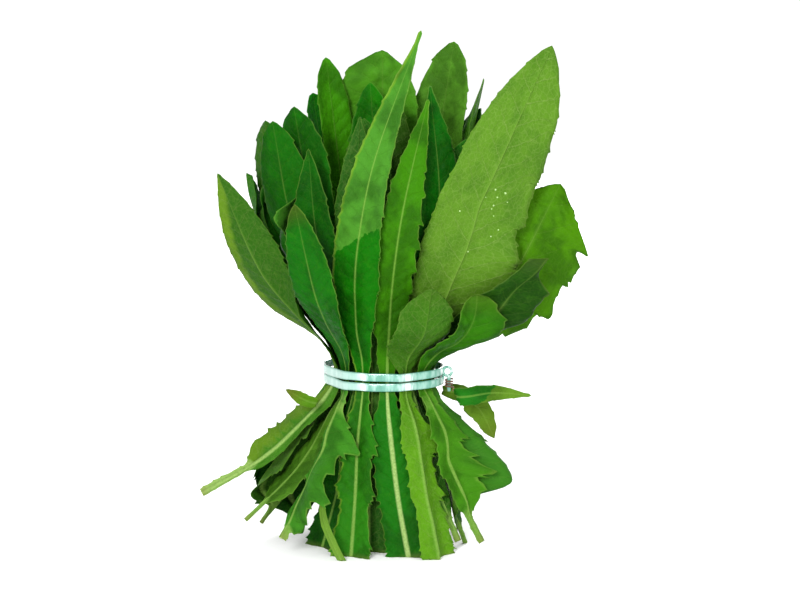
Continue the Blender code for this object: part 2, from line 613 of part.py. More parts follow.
def ring_object(name, frame, collection, own_material):
    """The ear: a small round ring that stands upright, its axis along the strap."""
    profile = [
        (
            EAR_RADIUS + EAR_TUBE_RADIUS * math.cos(math.tau * n / EAR_SIDES),
            EAR_TUBE_RADIUS * math.sin(math.tau * n / EAR_SIDES),
        )
        for n in range(EAR_SIDES)
    ]
    ring = screwed(name, profile, EAR_STEPS, collection, own_material)
    ring.matrix_world = frame @ Matrix.Rotation(math.radians(90), 4, "X")
    return ring


def wire(collection, neck_radius, neck_top, brown):
    """The thin wire: a few turns round the neck, then a tail that hangs clear of it."""
    coil_radius = NECK_RADIUS + WIRE_CLEARANCE + WIRE_RADIUS
    axis = azimuth_vector(TIE_AZIMUTH) * neck_radius
    axis[2] = neck_top - WIRE_DROP
    route = []
    for n in range(WIRE_TURNS * WIRE_STEPS + 1):
        turn = math.tau * n / WIRE_STEPS + math.radians(TIE_AZIMUTH)
        down = WIRE_PITCH * n / WIRE_STEPS
        route.append(
            axis + [coil_radius * math.cos(turn), coil_radius * math.sin(turn), -down]
        )
    end, step = route[-1], route[-1] - route[-2]
    for n, (aside, drop) in enumerate(WIRE_TAIL):
        route.append(end + step * (n + 1) + [aside, aside, -drop])
    curve = bpy.data.curves.new("tie_wire", "CURVE")
    curve.dimensions = "3D"
    curve.bevel_depth = WIRE_RADIUS * MM
    curve.bevel_resolution = 1
    curve.use_fill_caps = True
    line = curve.splines.new("POLY")
    line.points.add(len(route) - 1)
    for point, place in zip(line.points, route):
        point.co = (*(place * MM), 1.0)
    obj = bpy.data.objects.new("tie_wire", curve)
    obj.data.materials.append(brown)
    collection.objects.link(obj)


def main():
    """Builds the leaves from the middle outwards, then the strap and the wire."""
    for obj in list(bpy.data.objects):
        bpy.data.objects.remove(obj)
    bunch = bpy.data.collections.new("chicory_bunch")
    bpy.context.scene.collection.children.link(bunch)
    scratch = bpy.data.collections.new("joined_pieces")
    bpy.context.scene.collection.children.link(scratch)
    leaf_green = material("leaf", (0.10, 0.30, 0.03), 0.5)
    leaves = list(INNER) + back_leaves(0) + list(SECOND) + back_leaves(1) + list(OUTER)
    leaves += list(DROOPING)
    shapes = [face_grid(leaf) for leaf in leaves]
    grids = lay_leaves([shape[0] for shape in shapes])
    held = [grid for leaf, grid in zip(leaves, grids) if leaf.waist]
    squeeze_waist(held)
    for leaf, grid, (_, width, length, waist) in zip(leaves, grids, shapes):
        obj = leaf_object(leaf, grid, width, length, waist, bunch, leaf_green)
        cut_level(obj)
    clear_plastic = material("clear_strap", (0.78, 0.88, 0.86), 0.2)
    brown = material("wire", (0.16, 0.07, 0.04), 0.6)
    inner_radius = widest_at_tie(held) + STRAP_CLEARANCE
    neck_radius, neck_top = strap(bunch, scratch, inner_radius, clear_plastic)
    wire(bunch, neck_radius, neck_top, brown)


main()
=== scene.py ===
"""The looks of a bunch of leaf chicory that stands on its cut stalks, tied with a clear strap.

Each leaf's smooth surface is worked out here as in the part's own source, and a finer leaf is made
on it: a thin blade with hooked teeth, a round midrib, side veins and a cut end. The strap and the
wire are made again as well, with rounder edges and more turns.

Lengths are in millimetres until a mesh is made, in the frame's axes: +z up, -y the front.
"""

import math
from collections import namedtuple

import bmesh
import bpy
import numpy as np
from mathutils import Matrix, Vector


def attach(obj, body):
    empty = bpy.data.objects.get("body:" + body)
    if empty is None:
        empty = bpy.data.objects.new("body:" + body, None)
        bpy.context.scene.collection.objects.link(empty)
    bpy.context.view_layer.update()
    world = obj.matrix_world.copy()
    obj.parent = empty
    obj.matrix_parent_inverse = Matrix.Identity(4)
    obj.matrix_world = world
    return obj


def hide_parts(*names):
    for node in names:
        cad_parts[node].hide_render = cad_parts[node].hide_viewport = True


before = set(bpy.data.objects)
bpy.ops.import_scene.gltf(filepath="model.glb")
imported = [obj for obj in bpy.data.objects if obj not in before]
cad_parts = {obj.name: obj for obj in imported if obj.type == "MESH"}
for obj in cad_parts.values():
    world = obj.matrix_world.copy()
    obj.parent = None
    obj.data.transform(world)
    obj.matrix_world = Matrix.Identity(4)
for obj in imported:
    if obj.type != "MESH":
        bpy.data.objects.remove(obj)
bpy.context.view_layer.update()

MM = 0.001

# The strap: two turns of it, one above the other, with a fold where they meet the ear.
STRAP_THICKNESS = 1.5
STRAP_HEIGHT = 4.9
STRAP_GAP = 0.6
STRAP_CLEARANCE = 0.6
CRIMP_RELIEF = 0.5

# The strap's ear and the neck under it, with the wire that is wound round the neck.
TIE_AZIMUTH = -14.0
EAR_RADIUS = 2.6
EAR_TUBE_RADIUS = 0.95
NECK_RADIUS = 1.05
NECK_LENGTH = 9.5
NECK_OVERLAP = 0.5
WIRE_RADIUS = 0.55
WIRE_TURNS = 3
WIRE_STEPS = 12
WIRE_PITCH = 1.55
WIRE_CLEARANCE = 0.35
WIRE_DROP = 2.2
WIRE_TAIL = ((0.2, 0.5), (0.1, 1.6), (-0.3, 2.7))

# Where the tie is, and how thick the bunch is there.
TIE_Z = 98.0
TIE_HALF_HEIGHT = 6.0
WAIST_RADIUS = 34.5
SQUEEZE_REACH = 30.0

# What every leaf shares.
BLADE_THICKNESS = 0.8
STALK_THICKNESS = 2.8
STALK_HALF_WIDTH = 2.6
TIP_RIB_HALF_WIDTH = 1.2
RIB_SHARES = (1.0, 0.75, 0.35)
RIB_NARROWING = 2.5
WAIST_HALF_WIDTH = 5.6
TRIM_DEPTH = 4.0
SHIN_SHARES = (0.44, 0.44, 0.6)
WING_RISE = 24.0
WING_TAPER = 16.0
WRAP = 2.4
LEAST_WRAP_RADIUS = 20.0
RIPPLE_START = 40.0
RIPPLE_LENGTH = 11.0
RIPPLE_OFFSET = 1.9
SKEW_PLACES = (30.0, 50.0)

# The edge, as shares of the step from one tooth or lobe to the next: where the point is, where
# the notch after it is, and how far the point is drawn back.
TOOTH, TOOTH_NOTCH, TOOTH_HOOK = 0.25, 0.85, 0.2
LOBE, LOBE_NOTCH, LOBE_HOOK = 0.2, 0.78, 0.22
LOBE_SPACING = 26.0
EDGE_MARGIN = 8.0
LEAST_BARE = 5.0
TIP_ROWS = (9.0, 6.0, 2.8, 0.0)
TIP_SLOPE = 0.9
FINER_TEETH = 0.6
EDGE_STAGGER = 0.4

# How the leaves are laid against each other.
GRID_ROWS = 20
GRID_COLUMNS = 5
SPINE_STEPS = 400
CLEARANCE = 1.5
MAP_STEP_Z = 2.5
MAP_STEP_ANGLE = 3.0
MAP_BOTTOM = -10.0
MAP_TOP = 320.0
LAYING_PASSES = 14
PUSH_SPREAD = 0.7
SETTLED = 0.1

# name: the node that is replaced. waist: azimuth in degrees and distance from the axis. tip, mid:
# points on the rib above the tie. foot: the cut end. width: the blade's greatest half width.
# wing: the same below the tie. face: the azimuth that the leaf faces at its foot, waist and tip.
# blunt: 0 for a pointed tip, 1 for a round one. peak: where the blade is widest. fold: how far its
# halves turn up round the rib. wave: how far the edge waves. teeth: on each edge of the blade.
# depth, notch: the share of the half width cut away between two teeth above the tie, and between
# two below it. bare: stalk without wings at the cut end, or WINGED for a leaf cut through its
# wings. skew: how much wider than the other the half on the rib's right is, below the tie and
# above it. A leaf without a waist hangs loose, and its mid is its route.
WINGED = -WING_TAPER
Leaf = namedtuple(
    "Leaf",
    "name waist tip mid foot width wing face blunt peak fold wave teeth depth notch bare skew",
    defaults=((0.0, 0.0),),
)

# In the order in which they are laid, so each may lie outside those before it.
INNER = (
    Leaf("leaf_core_front", (240, 5), (6, -9, 262), (1, -9, 190), (0, 0, 0),
         16, 7, (250, 250, 262), 0.6, 0.6, 0.1, 0.6, 5, 0.1, 0.2, 6),
    Leaf("leaf_core_back", (70, 6), (-7, 11, 268), (-2, 10, 190), (3, 11, 0),
         16, 7, (75, 70, 84), 0.6, 0.6, -0.1, 0.6, 5, 0.1, 0.2, 8),
    Leaf("leaf_upright", (146, 16), (-33, 19, 282), (-25, 17, 214), (-18, 18, 0),
         11.5, 8, (146, 146, 120), 1.0, 0.62, -0.1, 0.6, 5, 0.08, 0.2, 6),
    Leaf("leaf_broad_back", (98, 16), (0, 24, 286), (0, 22, 212), (2, 24, 0),
         21, 8, (98, 98, 94), 1.0, 0.62, -0.1, 1.0, 6, 0.07, 0.2, 6),
    Leaf("leaf_back_right", (48, 16), (42, 24, 291), (30, 22, 214), (19, 18, 0),
         19, 8, (48, 48, 62), 0.8, 0.62, -0.1, 1.0, 6, 0.08, 0.25, 6),
    Leaf("leaf_front_inner", (254, 17.5), (-10, -26, 250), (-9, -26, 200), (-8, -28, 0),
         17, 10, (254, 254, 262), 0.5, 0.55, 0.0, 0.8, 5, 0.1, 0.2, WINGED),
    Leaf("leaf_right_inner", (308, 17.5), (48, -24, 238), (34, -24, 190), (20, -20, 0),
         17, 10, (308, 308, 300), 0.5, 0.55, 0.1, 0.8, 5, 0.1, 0.2, WINGED),
    Leaf("leaf_left_inner", (200, 17.5), (-50, -18, 256), (-41, -16, 203), (-29, -12, 0),
         19, 11, (200, 200, 235), 0.9, 0.6, 0.1, 0.8, 5, 0.08, 0.2, WINGED),
    Leaf("leaf_curled", (2, 17.5), (59, 14, 270), (45, 8, 206), (26, 3, 0),
         12, 8, (2, 2, 10), 0.8, 0.6, -0.2, 1.5, 5, 0.1, 0.2, 6),
)
SECOND = (
    Leaf("leaf_front_second", (254, 25), (-12, -42, 252), (-14, -44, 190), (-8, -38, 0),
         14, 12, (254, 254, 262), 0.2, 0.5, 0.15, 0.8, 6, 0.08, 0.3, WINGED),
    Leaf("leaf_dark", (285, 25), (27, -36, 269), (32, -42, 196), (21, -38, 0),
         15, 12, (285, 285, 288), 0.15, 0.5, 0.15, 0.8, 6, 0.08, 0.2, WINGED),
    Leaf("leaf_left_mid", (224, 25), (-41, -42, 234), (-37, -42, 188), (-36, -28, 0),
         15, 12, (224, 224, 248), 0.15, 0.5, 0.25, 0.8, 6, 0.08, 0.3, WINGED),
    Leaf("leaf_left_second", (194, 25), (-62, -22, 248), (-52, -18, 190), (-80, -22, 15),
         17, 13.5, (200, 214, 244), 0.8, 0.58, 0.0, 0.8, 5, 0.1, 0.3, 14),
    Leaf("leaf_left_back", (164, 25), (-68, 8, 246), (-59, 8, 184), (-72, -2, 8),
         18, 13, (176, 190, 235), 0.9, 0.58, -0.1, 0.8, 6, 0.08, 0.3, 14),
)
OUTER = (
    Leaf("leaf_frilled", (350, 32), (102, -20, 212), (74, -20, 158), (70, -10, 40),
         34, 8, (335, 298, 270), 0.9, 0.58, 0.05, 3.0, 6, 0.26, 0.2, 34),
    Leaf("leaf_broad_right", (317, 26), (94, -54, 292), (66, -50, 228), (44, -32, 5),
         27, 10, (317, 304, 284), 0.45, 0.52, 0.05, 1.2, 6, 0.05, 0.25, 14, (0.0, 0.1)),
    Leaf("leaf_right_mid", (338, 29), (70, -31, 172), (53, -27, 142), (50, -18, 0),
         12, 8, (335, 330, 300), 0.1, 0.5, 0.1, 0.8, 5, 0.1, 0.2, 12),
    Leaf("leaf_scalloped", (276, 33), (26, -46, 262), (10, -58, 190), (16, -50, 0),
         12.5, 11.5, (268, 272, 272), 0.1, 0.45, 0.15, 1.2, 10, 0.22, 0.12, WINGED),
    Leaf("leaf_tall", (246, 32.5), (22, -46, 300), (-8, -60, 212), (-18, -49, 0),
         13.5, 11.5, (252, 247, 262), 0.0, 0.34, 0.3, 0.8, 8, 0.07, 0.25, WINGED),
    Leaf("leaf_petiole", None, None,
         ((-21, -55, -4), (-27, -58, 9), (-33, -56, 24), (-34, -50, 44)), None,
         2.4, 2.4, (262, 255, 250), 0.1, 0.5, 0.0, 0.0, 1, 0.0, 0.2, 0),
    Leaf("leaf_front_left", (220, 32.5), (-48, -62, 205), (-38, -54, 156), (-58, -54, 13),
         14, 13, (256, 224, 250), 0.5, 0.5, 0.1, 0.8, 6, 0.05, 0.5, 5, (0.65, 0.0)),
    Leaf("leaf_left", (194, 32.5), (-93, -30, 219), (-70, -27, 164), (-105, -20, 30),
         19, 10, (226, 220, 246), 0.1, 0.5, -0.15, 1.0, 7, 0.05, 0.15, 30, (-0.5, 0.0)),
    Leaf("leaf_short_front", (298, 33), (28, -62, 158), (24, -54, 132), (29, -48, 0),
         17, 11, (288, 297, 282), 0.9, 0.36, -0.05, 0.8, 4, 0.06, 0.25, WINGED, (0.3, 0.0)),
    Leaf("leaf_short_right", (323, 32.5), (52, -44, 152), (46, -38, 130), (58, -30, 4),
         12, 8, (320, 314, 298), 0.7, 0.4, -0.05, 0.8, 4, 0.1, 0.3, 16),
)

# The back of the bunch, in two rings: name, ring's distance from the axis at the waist, azimuths
# there, distance from the axis at the tip and at the foot, and the tip's height.
BACK_RINGS = (
    ("leaf_back_mid", 25.0, (136, 105, 73, 43, 16), 52.0, 35.0, 246.0),
    ("leaf_back_outer", 32.5, (164, 139, 115, 91, 67, 42, 16), 78.0, 50.0, 224.0),
)
BACK_SEED = 7
BACK_TURNS = (5.0, 2.0, 3.0)
BACK_LEAN = 8.0
BACK_TALL = 26.0
BACK_BELLY = 0.62
BACK_BELLY_RISE = 4.0
BACK_FOOT_SPREAD = 5.0
BACK_HIGH_FOOT = 4.0

# Short leaves that are tucked under the tie and hang out below it, as a route for the rib.
DROOPING = (
    Leaf("leaf_droop_right", None, None,
         ((38, -16, 88), (45, -20, 88), (64, -23, 91), (86, -26, 90)), None,
         5.8, 4.0, (310, 296, 285), 0.1, 0.3, 0.1, 0.4, 3, 0.08, 0.2, 0),
    Leaf("leaf_droop_ragged", None, None,
         ((35, 5, 87), (46, 4, 85), (57, 2, 76), (66, 0, 59)), None,
         8.0, 2.6, (335, 315, 298), 0.3, 0.55, 0.1, 0.6, 2, 0.25, 0.2, 0),
    Leaf("leaf_droop_left", None, None,
         ((-38, -19, 84), (-44, -21, 86), (-50, -20, 89), (-56, -18, 92)), None,
         4.2, 3.0, (225, 240, 250), 0.1, 0.4, 0.1, 0.4, 2, 0.1, 0.2, 0),
)


def azimuth_vector(degrees):
    """The level direction at an azimuth, counted from +x towards +y."""
    angle = math.radians(degrees)
    return np.array([math.cos(angle), math.sin(angle), 0.0])


def back_leaves(ring):
    """The leaves of one of the back rings, each a little unlike the next."""
    name, waist_r, azimuths, tip_r, foot_r, tip_z = BACK_RINGS[ring]
    rng = np.random.default_rng(BACK_SEED + ring)
    made = []
    for i, azimuth in enumerate(azimuths):
        lean, turn, tall, spread = rng.uniform(-1, 1, 4)
        tip_turn, mid_turn, foot_turn = [azimuth + turn * most for most in BACK_TURNS]
        tip = azimuth_vector(tip_turn) * (tip_r + BACK_LEAN * lean)
        tip[2] = tip_z + BACK_TALL * tall
        mid = azimuth_vector(mid_turn) * (waist_r + BACK_BELLY * (tip_r - waist_r))
        mid[2] = 0.5 * (TIE_Z + tip[2]) + BACK_BELLY_RISE
        foot = azimuth_vector(2 * azimuth - foot_turn) * (foot_r + BACK_FOOT_SPREAD * spread)
        foot[2] = 0.0 if i % 3 != 1 else BACK_HIGH_FOOT * (1 + abs(spread))
        made.append(
            Leaf(f"{name}_{i + 1}", (azimuth, waist_r), tuple(tip), tuple(mid), tuple(foot),
                 16 + 4 * abs(lean), 9, (azimuth, azimuth, azimuth + 10 * turn),
                 0.5 + 0.4 * turn, 0.56, -0.1, 1.2, 4, 0.08 + 0.06 * abs(spread), 0.2,
                 6 + 5 * abs(turn))
        )
    return made


def spine_through(points, count):
    """Evenly spaced points on a smooth curve through the given ones, and the spacing's total."""
    p = np.array(points, float)
    knots = np.concatenate([[0.0], np.cumsum(np.linalg.norm(np.diff(p, axis=0), axis=1))])
    slopes = np.gradient(p, knots, axis=0)
    fine = np.linspace(0, knots[-1], SPINE_STEPS)
    i = np.clip(np.searchsorted(knots, fine, side="right") - 1, 0, len(p) - 2)
    span = (knots[i + 1] - knots[i])[:, None]
    t = (fine - knots[i])[:, None] / span
    curve = (
        (2 * t**3 - 3 * t**2 + 1) * p[i]
        + (t**3 - 2 * t**2 + t) * span * slopes[i]
        + (3 * t**2 - 2 * t**3) * p[i + 1]
        + (t**3 - t**2) * span * slopes[i + 1]
    )
    along = np.concatenate([[0.0], np.cumsum(np.linalg.norm(np.diff(curve, axis=0), axis=1))])
    even = np.linspace(0, along[-1], count)
    return np.stack([np.interp(even, along, curve[:, a]) for a in range(3)], 1), along[-1]


def spine_points(leaf):
    """The route of a leaf's rib: cut end, shin, straight through the tie, and up to the tip."""
    if leaf.waist is None:
        return leaf.mid
    out = azimuth_vector(leaf.waist[0]) * leaf.waist[1]
    foot = np.array(leaf.foot, float)
    if foot[2] < 1.0:
        foot[2] = -TRIM_DEPTH
    low = out + [0, 0, TIE_Z - TIE_HALF_HEIGHT - 1]
    high = out + [0, 0, TIE_Z + TIE_HALF_HEIGHT]
    shin = low + (foot - low) * SHIN_SHARES
    return [foot, shin, low, high, leaf.mid, leaf.tip]


def smooth_step(t):
    """0 up to t = 0 and 1 from t = 1, with a smooth rise between them."""
    t = np.clip(t, 0, 1)
    return t * t * (3 - 2 * t)


def half_width(leaf, above, top, bottom, slope=TIP_SLOPE):
    """Half the leaf's width, teeth included, at distances above (or, negative, below) the tie."""
    root = WAIST_HALF_WIDTH if leaf.waist else leaf.wing
    clear = TIE_HALF_HEIGHT if leaf.waist else 0.0
    up = np.clip((above - clear) / (top - clear), 0, 1)
    rise = root + (leaf.width - root) * np.sin(np.clip(up / leaf.peak, 0, 1) * math.pi / 2)
    past = np.clip((up - leaf.peak) / (1 - leaf.peak), 0, 1)
    fall = np.maximum(1 - past ** (1.6 + 1.4 * leaf.blunt), 0) ** (1 - 0.5 * leaf.blunt)
    blade = np.where(up < leaf.peak, rise, leaf.width * fall)
    down = np.clip(-above - clear, 0, None)
    winged = max(bottom - clear - leaf.bare, 1.0)
    wing = root + (leaf.wing - root) * smooth_step(down / WING_RISE)
    taper = smooth_step((winged - down) / WING_TAPER)
    wing = STALK_HALF_WIDTH + (wing - STALK_HALF_WIDTH) * taper
    blade = np.minimum(blade, TIP_RIB_HALF_WIDTH + slope * (top - above))
    return np.maximum(np.where(above > 0, blade, wing), TIP_RIB_HALF_WIDTH)


def face_grid(leaf):
    """Control points of the leaf's smooth middle surface, before it is pressed by the others,
    with its half width at each row, its length, and how far up it the tie is."""
    rib, length = spine_through(spine_points(leaf), GRID_ROWS)
    along = np.linspace(0, length, GRID_ROWS)
    waist = np.interp(TIE_Z, rib[:, 2], along) if leaf.waist else 0.0
    above = along - waist
    width = half_width(leaf, above, length - waist, waist)
    tangent = np.gradient(rib, along, axis=0)
    tangent /= np.linalg.norm(tangent, axis=1)[:, None]
    azimuth = np.interp(above, [-waist - 1, 0, length - waist], leaf.face)
    facing = np.array([azimuth_vector(a) for a in azimuth])
    normal = facing - (facing * tangent).sum(1)[:, None] * tangent
    normal /= np.linalg.norm(normal, axis=1)[:, None]
    across = np.cross(tangent, normal)
    distance = np.linalg.norm(rib[:, :2], axis=1)
    wrap = 1 / (WRAP * np.maximum(distance, LEAST_WRAP_RADIUS))
    ripple = leaf.wave * np.clip(above / RIPPLE_START, 0, 1)
    skewed = [-SKEW_PLACES[0], -TIE_HALF_HEIGHT, TIE_HALF_HEIGHT, SKEW_PLACES[1]]
    skew = np.interp(above, skewed, [leaf.skew[0], 0.0, 0.0, leaf.skew[1]])
    grid = np.zeros((GRID_ROWS, GRID_COLUMNS, 3))
    for k, v in enumerate(np.linspace(-1, 1, GRID_COLUMNS)):
        side = v * width * (1 + skew * np.sign(v))
        lift = leaf.fold * np.abs(side) - wrap * side**2
        phase = along / RIPPLE_LENGTH + (RIPPLE_OFFSET if v > 0 else 0.0)
        lift += ripple * v**2 * np.sin(phase)
        grid[:, k] = rib + across * side[:, None] + normal * lift[:, None]
    return grid, width, length, waist


def weights(t):
    """Catmull-Rom weights of four points in a row, at a place t between the middle two."""
    return np.stack(
        [-t**3 + 2 * t**2 - t, 3 * t**3 - 5 * t**2 + 2, -3 * t**3 + 4 * t**2 + t, t**3 - t**2],
        -1,
    ) / 2


def surface(grid, u, v):
    """Points of a leaf's middle surface: u is 0 at the cut end, 1 at the tip; v is -1 to 1."""
    rows, columns = grid.shape[:2]
    wide = np.concatenate([2 * grid[:1] - grid[1:2], grid, 2 * grid[-1:] - grid[-2:-1]])
    wide = np.concatenate(
        [2 * wide[:, :1] - wide[:, 1:2], wide, 2 * wide[:, -1:] - wide[:, -2:-1]], axis=1
    )
    a = np.clip(u, 0, 1) * (rows - 1)
    b = (np.clip(v, -1, 1) + 1) / 2 * (columns - 1)
    i = np.minimum(a.astype(int), rows - 2)
    k = np.minimum(b.astype(int), columns - 2)
    by_row, by_column = weights(a - i), weights(b - k)
    total = np.zeros(np.shape(u) + (3,))
    for p in range(4):
        for q in range(4):
            share = by_row[..., p] * by_column[..., q]
            total += wide[i + p, k + q] * share[..., None]
    return total


def map_cells(points):
    """Which cell of the map round the axis each point lies in, and its distance from the axis."""
    angle = np.degrees(np.arctan2(points[..., 1], points[..., 0])) % 360
    column = (angle / MAP_STEP_ANGLE).astype(int) % int(360 / MAP_STEP_ANGLE)
    row = ((points[..., 2] - MAP_BOTTOM) / MAP_STEP_Z).astype(int)
    row = np.clip(row, 0, int((MAP_TOP - MAP_BOTTOM) / MAP_STEP_Z) - 1)
    return row, column, np.hypot(points[..., 0], points[..., 1])


def stalk_relief(v):
    """How far the stalk or rib stands out of the middle surface, across the leaf."""
    return np.clip(1 - np.abs(v) * RIB_NARROWING, 0, 1) * (STALK_THICKNESS / 2)


def lay_leaves(grids):
    """Presses each leaf's grid outwards until it clears every leaf that was laid before it."""
    map_rows = int((MAP_TOP - MAP_BOTTOM) / MAP_STEP_Z)
    taken = np.zeros((map_rows, int(360 / MAP_STEP_ANGLE)))
    u, v = np.meshgrid(np.linspace(0, 1, 160), np.linspace(-1, 1, 41), indexing="ij")
    near_row = np.rint(u * (GRID_ROWS - 1)).astype(int)
    near_column = np.rint((v + 1) / 2 * (GRID_COLUMNS - 1)).astype(int)
    stalk = stalk_relief(v)
    for grid in grids:
        blocked = np.maximum(np.maximum(np.roll(taken, 1, 1), np.roll(taken, -1, 1)), taken)
        blocked[1:] = np.maximum(blocked[1:], blocked[:-1])
        for _ in range(LAYING_PASSES):
            points = surface(grid, u, v)
            row, column, distance = map_cells(points)
            short = blocked[row, column] + CLEARANCE + stalk - distance
            short = np.where(blocked[row, column] > 0, np.maximum(short, 0), 0)
            if short.max() < SETTLED:
                break
            push = np.zeros((GRID_ROWS, GRID_COLUMNS))
            np.maximum.at(push, (near_row, near_column), short)
            spread = np.pad(push, 1, mode="edge")
            around = (
                spread[:-2, 1:-1] + spread[2:, 1:-1] + spread[1:-1, :-2] + spread[1:-1, 2:]
            ) / 4
            push = np.maximum(push, PUSH_SPREAD * around)
            level = np.linalg.norm(grid[..., :2], axis=-1)
            grid[..., :2] *= (1 + push / np.maximum(level, 0.5))[..., None]
        points = surface(grid, u, v)
        row, column, distance = map_cells(points)
        np.maximum.at(taken, (row, column), distance + BLADE_THICKNESS / 2 + stalk)
    return grids


def widest_at_tie(grids):
    """The greatest distance from the axis of any leaf's outer face, inside the tie."""
    u, v = np.meshgrid(np.linspace(0, 1, 600), np.linspace(-1, 1, 17), indexing="ij")
    relief = np.maximum(BLADE_THICKNESS / 2, stalk_relief(v))
    widest = 0.0
    for grid in grids:
        points = surface(grid, u, v)
        distance = np.hypot(points[..., 0], points[..., 1]) + relief
        held = np.abs(points[..., 2] - TIE_Z) < TIE_HALF_HEIGHT + 0.5
        if held.any():
            widest = max(widest, distance[held].max())
    return widest


def squeeze_waist(grids):
    """Draws the leaves in to the tie's radius, most at the tie and less above and below it."""
    factor = min(WAIST_RADIUS / widest_at_tie(grids), 1.0)
    for grid in grids:
        reach = (np.abs(grid[..., 2] - TIE_Z) - TIE_HALF_HEIGHT) / SQUEEZE_REACH
        grid[..., :2] *= (factor + (1 - factor) * smooth_step(reach))[..., None]


def leaf_rows(leaf, length, waist):
    """The rows that shape the edge: distance from the cut end, the share of the half width that the edge
    reaches, and how far the edge is drawn back towards the cut end."""
    rows = [(0.0, 1.0, 0.0)]
    first = EDGE_MARGIN / 2
    if leaf.waist:
        stalk = max(leaf.bare, LEAST_BARE)
        rows.append((max(stalk * 0.8, 5.0), 1.0, 0.0))
        lobed_from = stalk + EDGE_MARGIN
        lobed_to = waist - TIE_HALF_HEIGHT - EDGE_MARGIN / 2
        lobes = max(round((lobed_to - lobed_from) / LOBE_SPACING), 1)
        step = (lobed_to - lobed_from) / lobes
        for n in range(lobes):
            start = lobed_from + step * n
            rows.append((start + LOBE * step, 1.0, LOBE_HOOK * step))
            rows.append((start + LOBE_NOTCH * step, 1 - leaf.notch, 0.0))
        rows.append((waist - TIE_HALF_HEIGHT - 1, 1.0, 0.0))
        rows.append((waist + TIE_HALF_HEIGHT + 1, 1.0, 0.0))
        first = waist + TIE_HALF_HEIGHT + EDGE_MARGIN
    step = (length - TIP_ROWS[0] - first) / leaf.teeth
    for n in range(leaf.teeth):
        start = first + step * n
        depth = leaf.depth * (1 - FINER_TEETH * n / leaf.teeth)
        rows.append((start + TOOTH * step, 1.0, TOOTH_HOOK * step))
        rows.append((start + TOOTH_NOTCH * step, 1 - depth, 0.0))
    rows += [(length - before, 1.0, 0.0) for before in TIP_ROWS[1:]]
    return rows


# The places of a leaf's materials after its own. How far below the floor a stalk reaches before it
# is cut level, and how high above the floor the cut is, in metres.
CUT_END, WATER = 1, 2
STANDS_BELOW = 0.0005
CUT_HEIGHT = 0.0002

# The finer leaf: its rows and tip, its thickness and midrib, its veins and waves, and its teeth.
FINE_STEP = 1.3
TOOTH_CURVE = 1.7
DEPTH_CHANGES = 12
FINE_HALF_COLUMNS = 12
FINE_TIP_SLOPE = 1.6
TIP_CAP = 3.0
TIP_HALF_WIDTH = 0.12
UNCAPPED = 99
SMOOTH_AT_TIE = 8
FACE_HALF_THICKNESS = 0.27
RIM_HALF_THICKNESS = 0.1
RIB_HALF_WIDTHS = (1.35, 1.05, 0.5, 0.2)
RIB_FINE_ABOVE = 45.0
RIB_COLUMN_SHARE = 0.3
RIB_MOST = 0.8
RISE_ABOVE = 0.15
RISE_OF_STALK = 0.55
RISE_UNDER = 0.8
RIM_SHARE = 0.1
VEIN_LEAN = 0.84
VEIN_CURVE = 0.35
LEAST_VEIN_SPACING = 8.0
PUCKER = 0.6
PUCKER_WIDTH = 1.6
EDGE_STEP = 0.1
EDGE_REACH = 0.2
EDGE_WAVE = 0.4
WAVE_LENGTH = 9.0
WAVE_OFFSET = 1.4
DENTICLE = 0.95
JAG_SPACING = 4
JAG_CURVE = 1.4
SKIRT_JAGS = 2.2
TOOTH_BACK = 0.5
FINE_SEED = 31

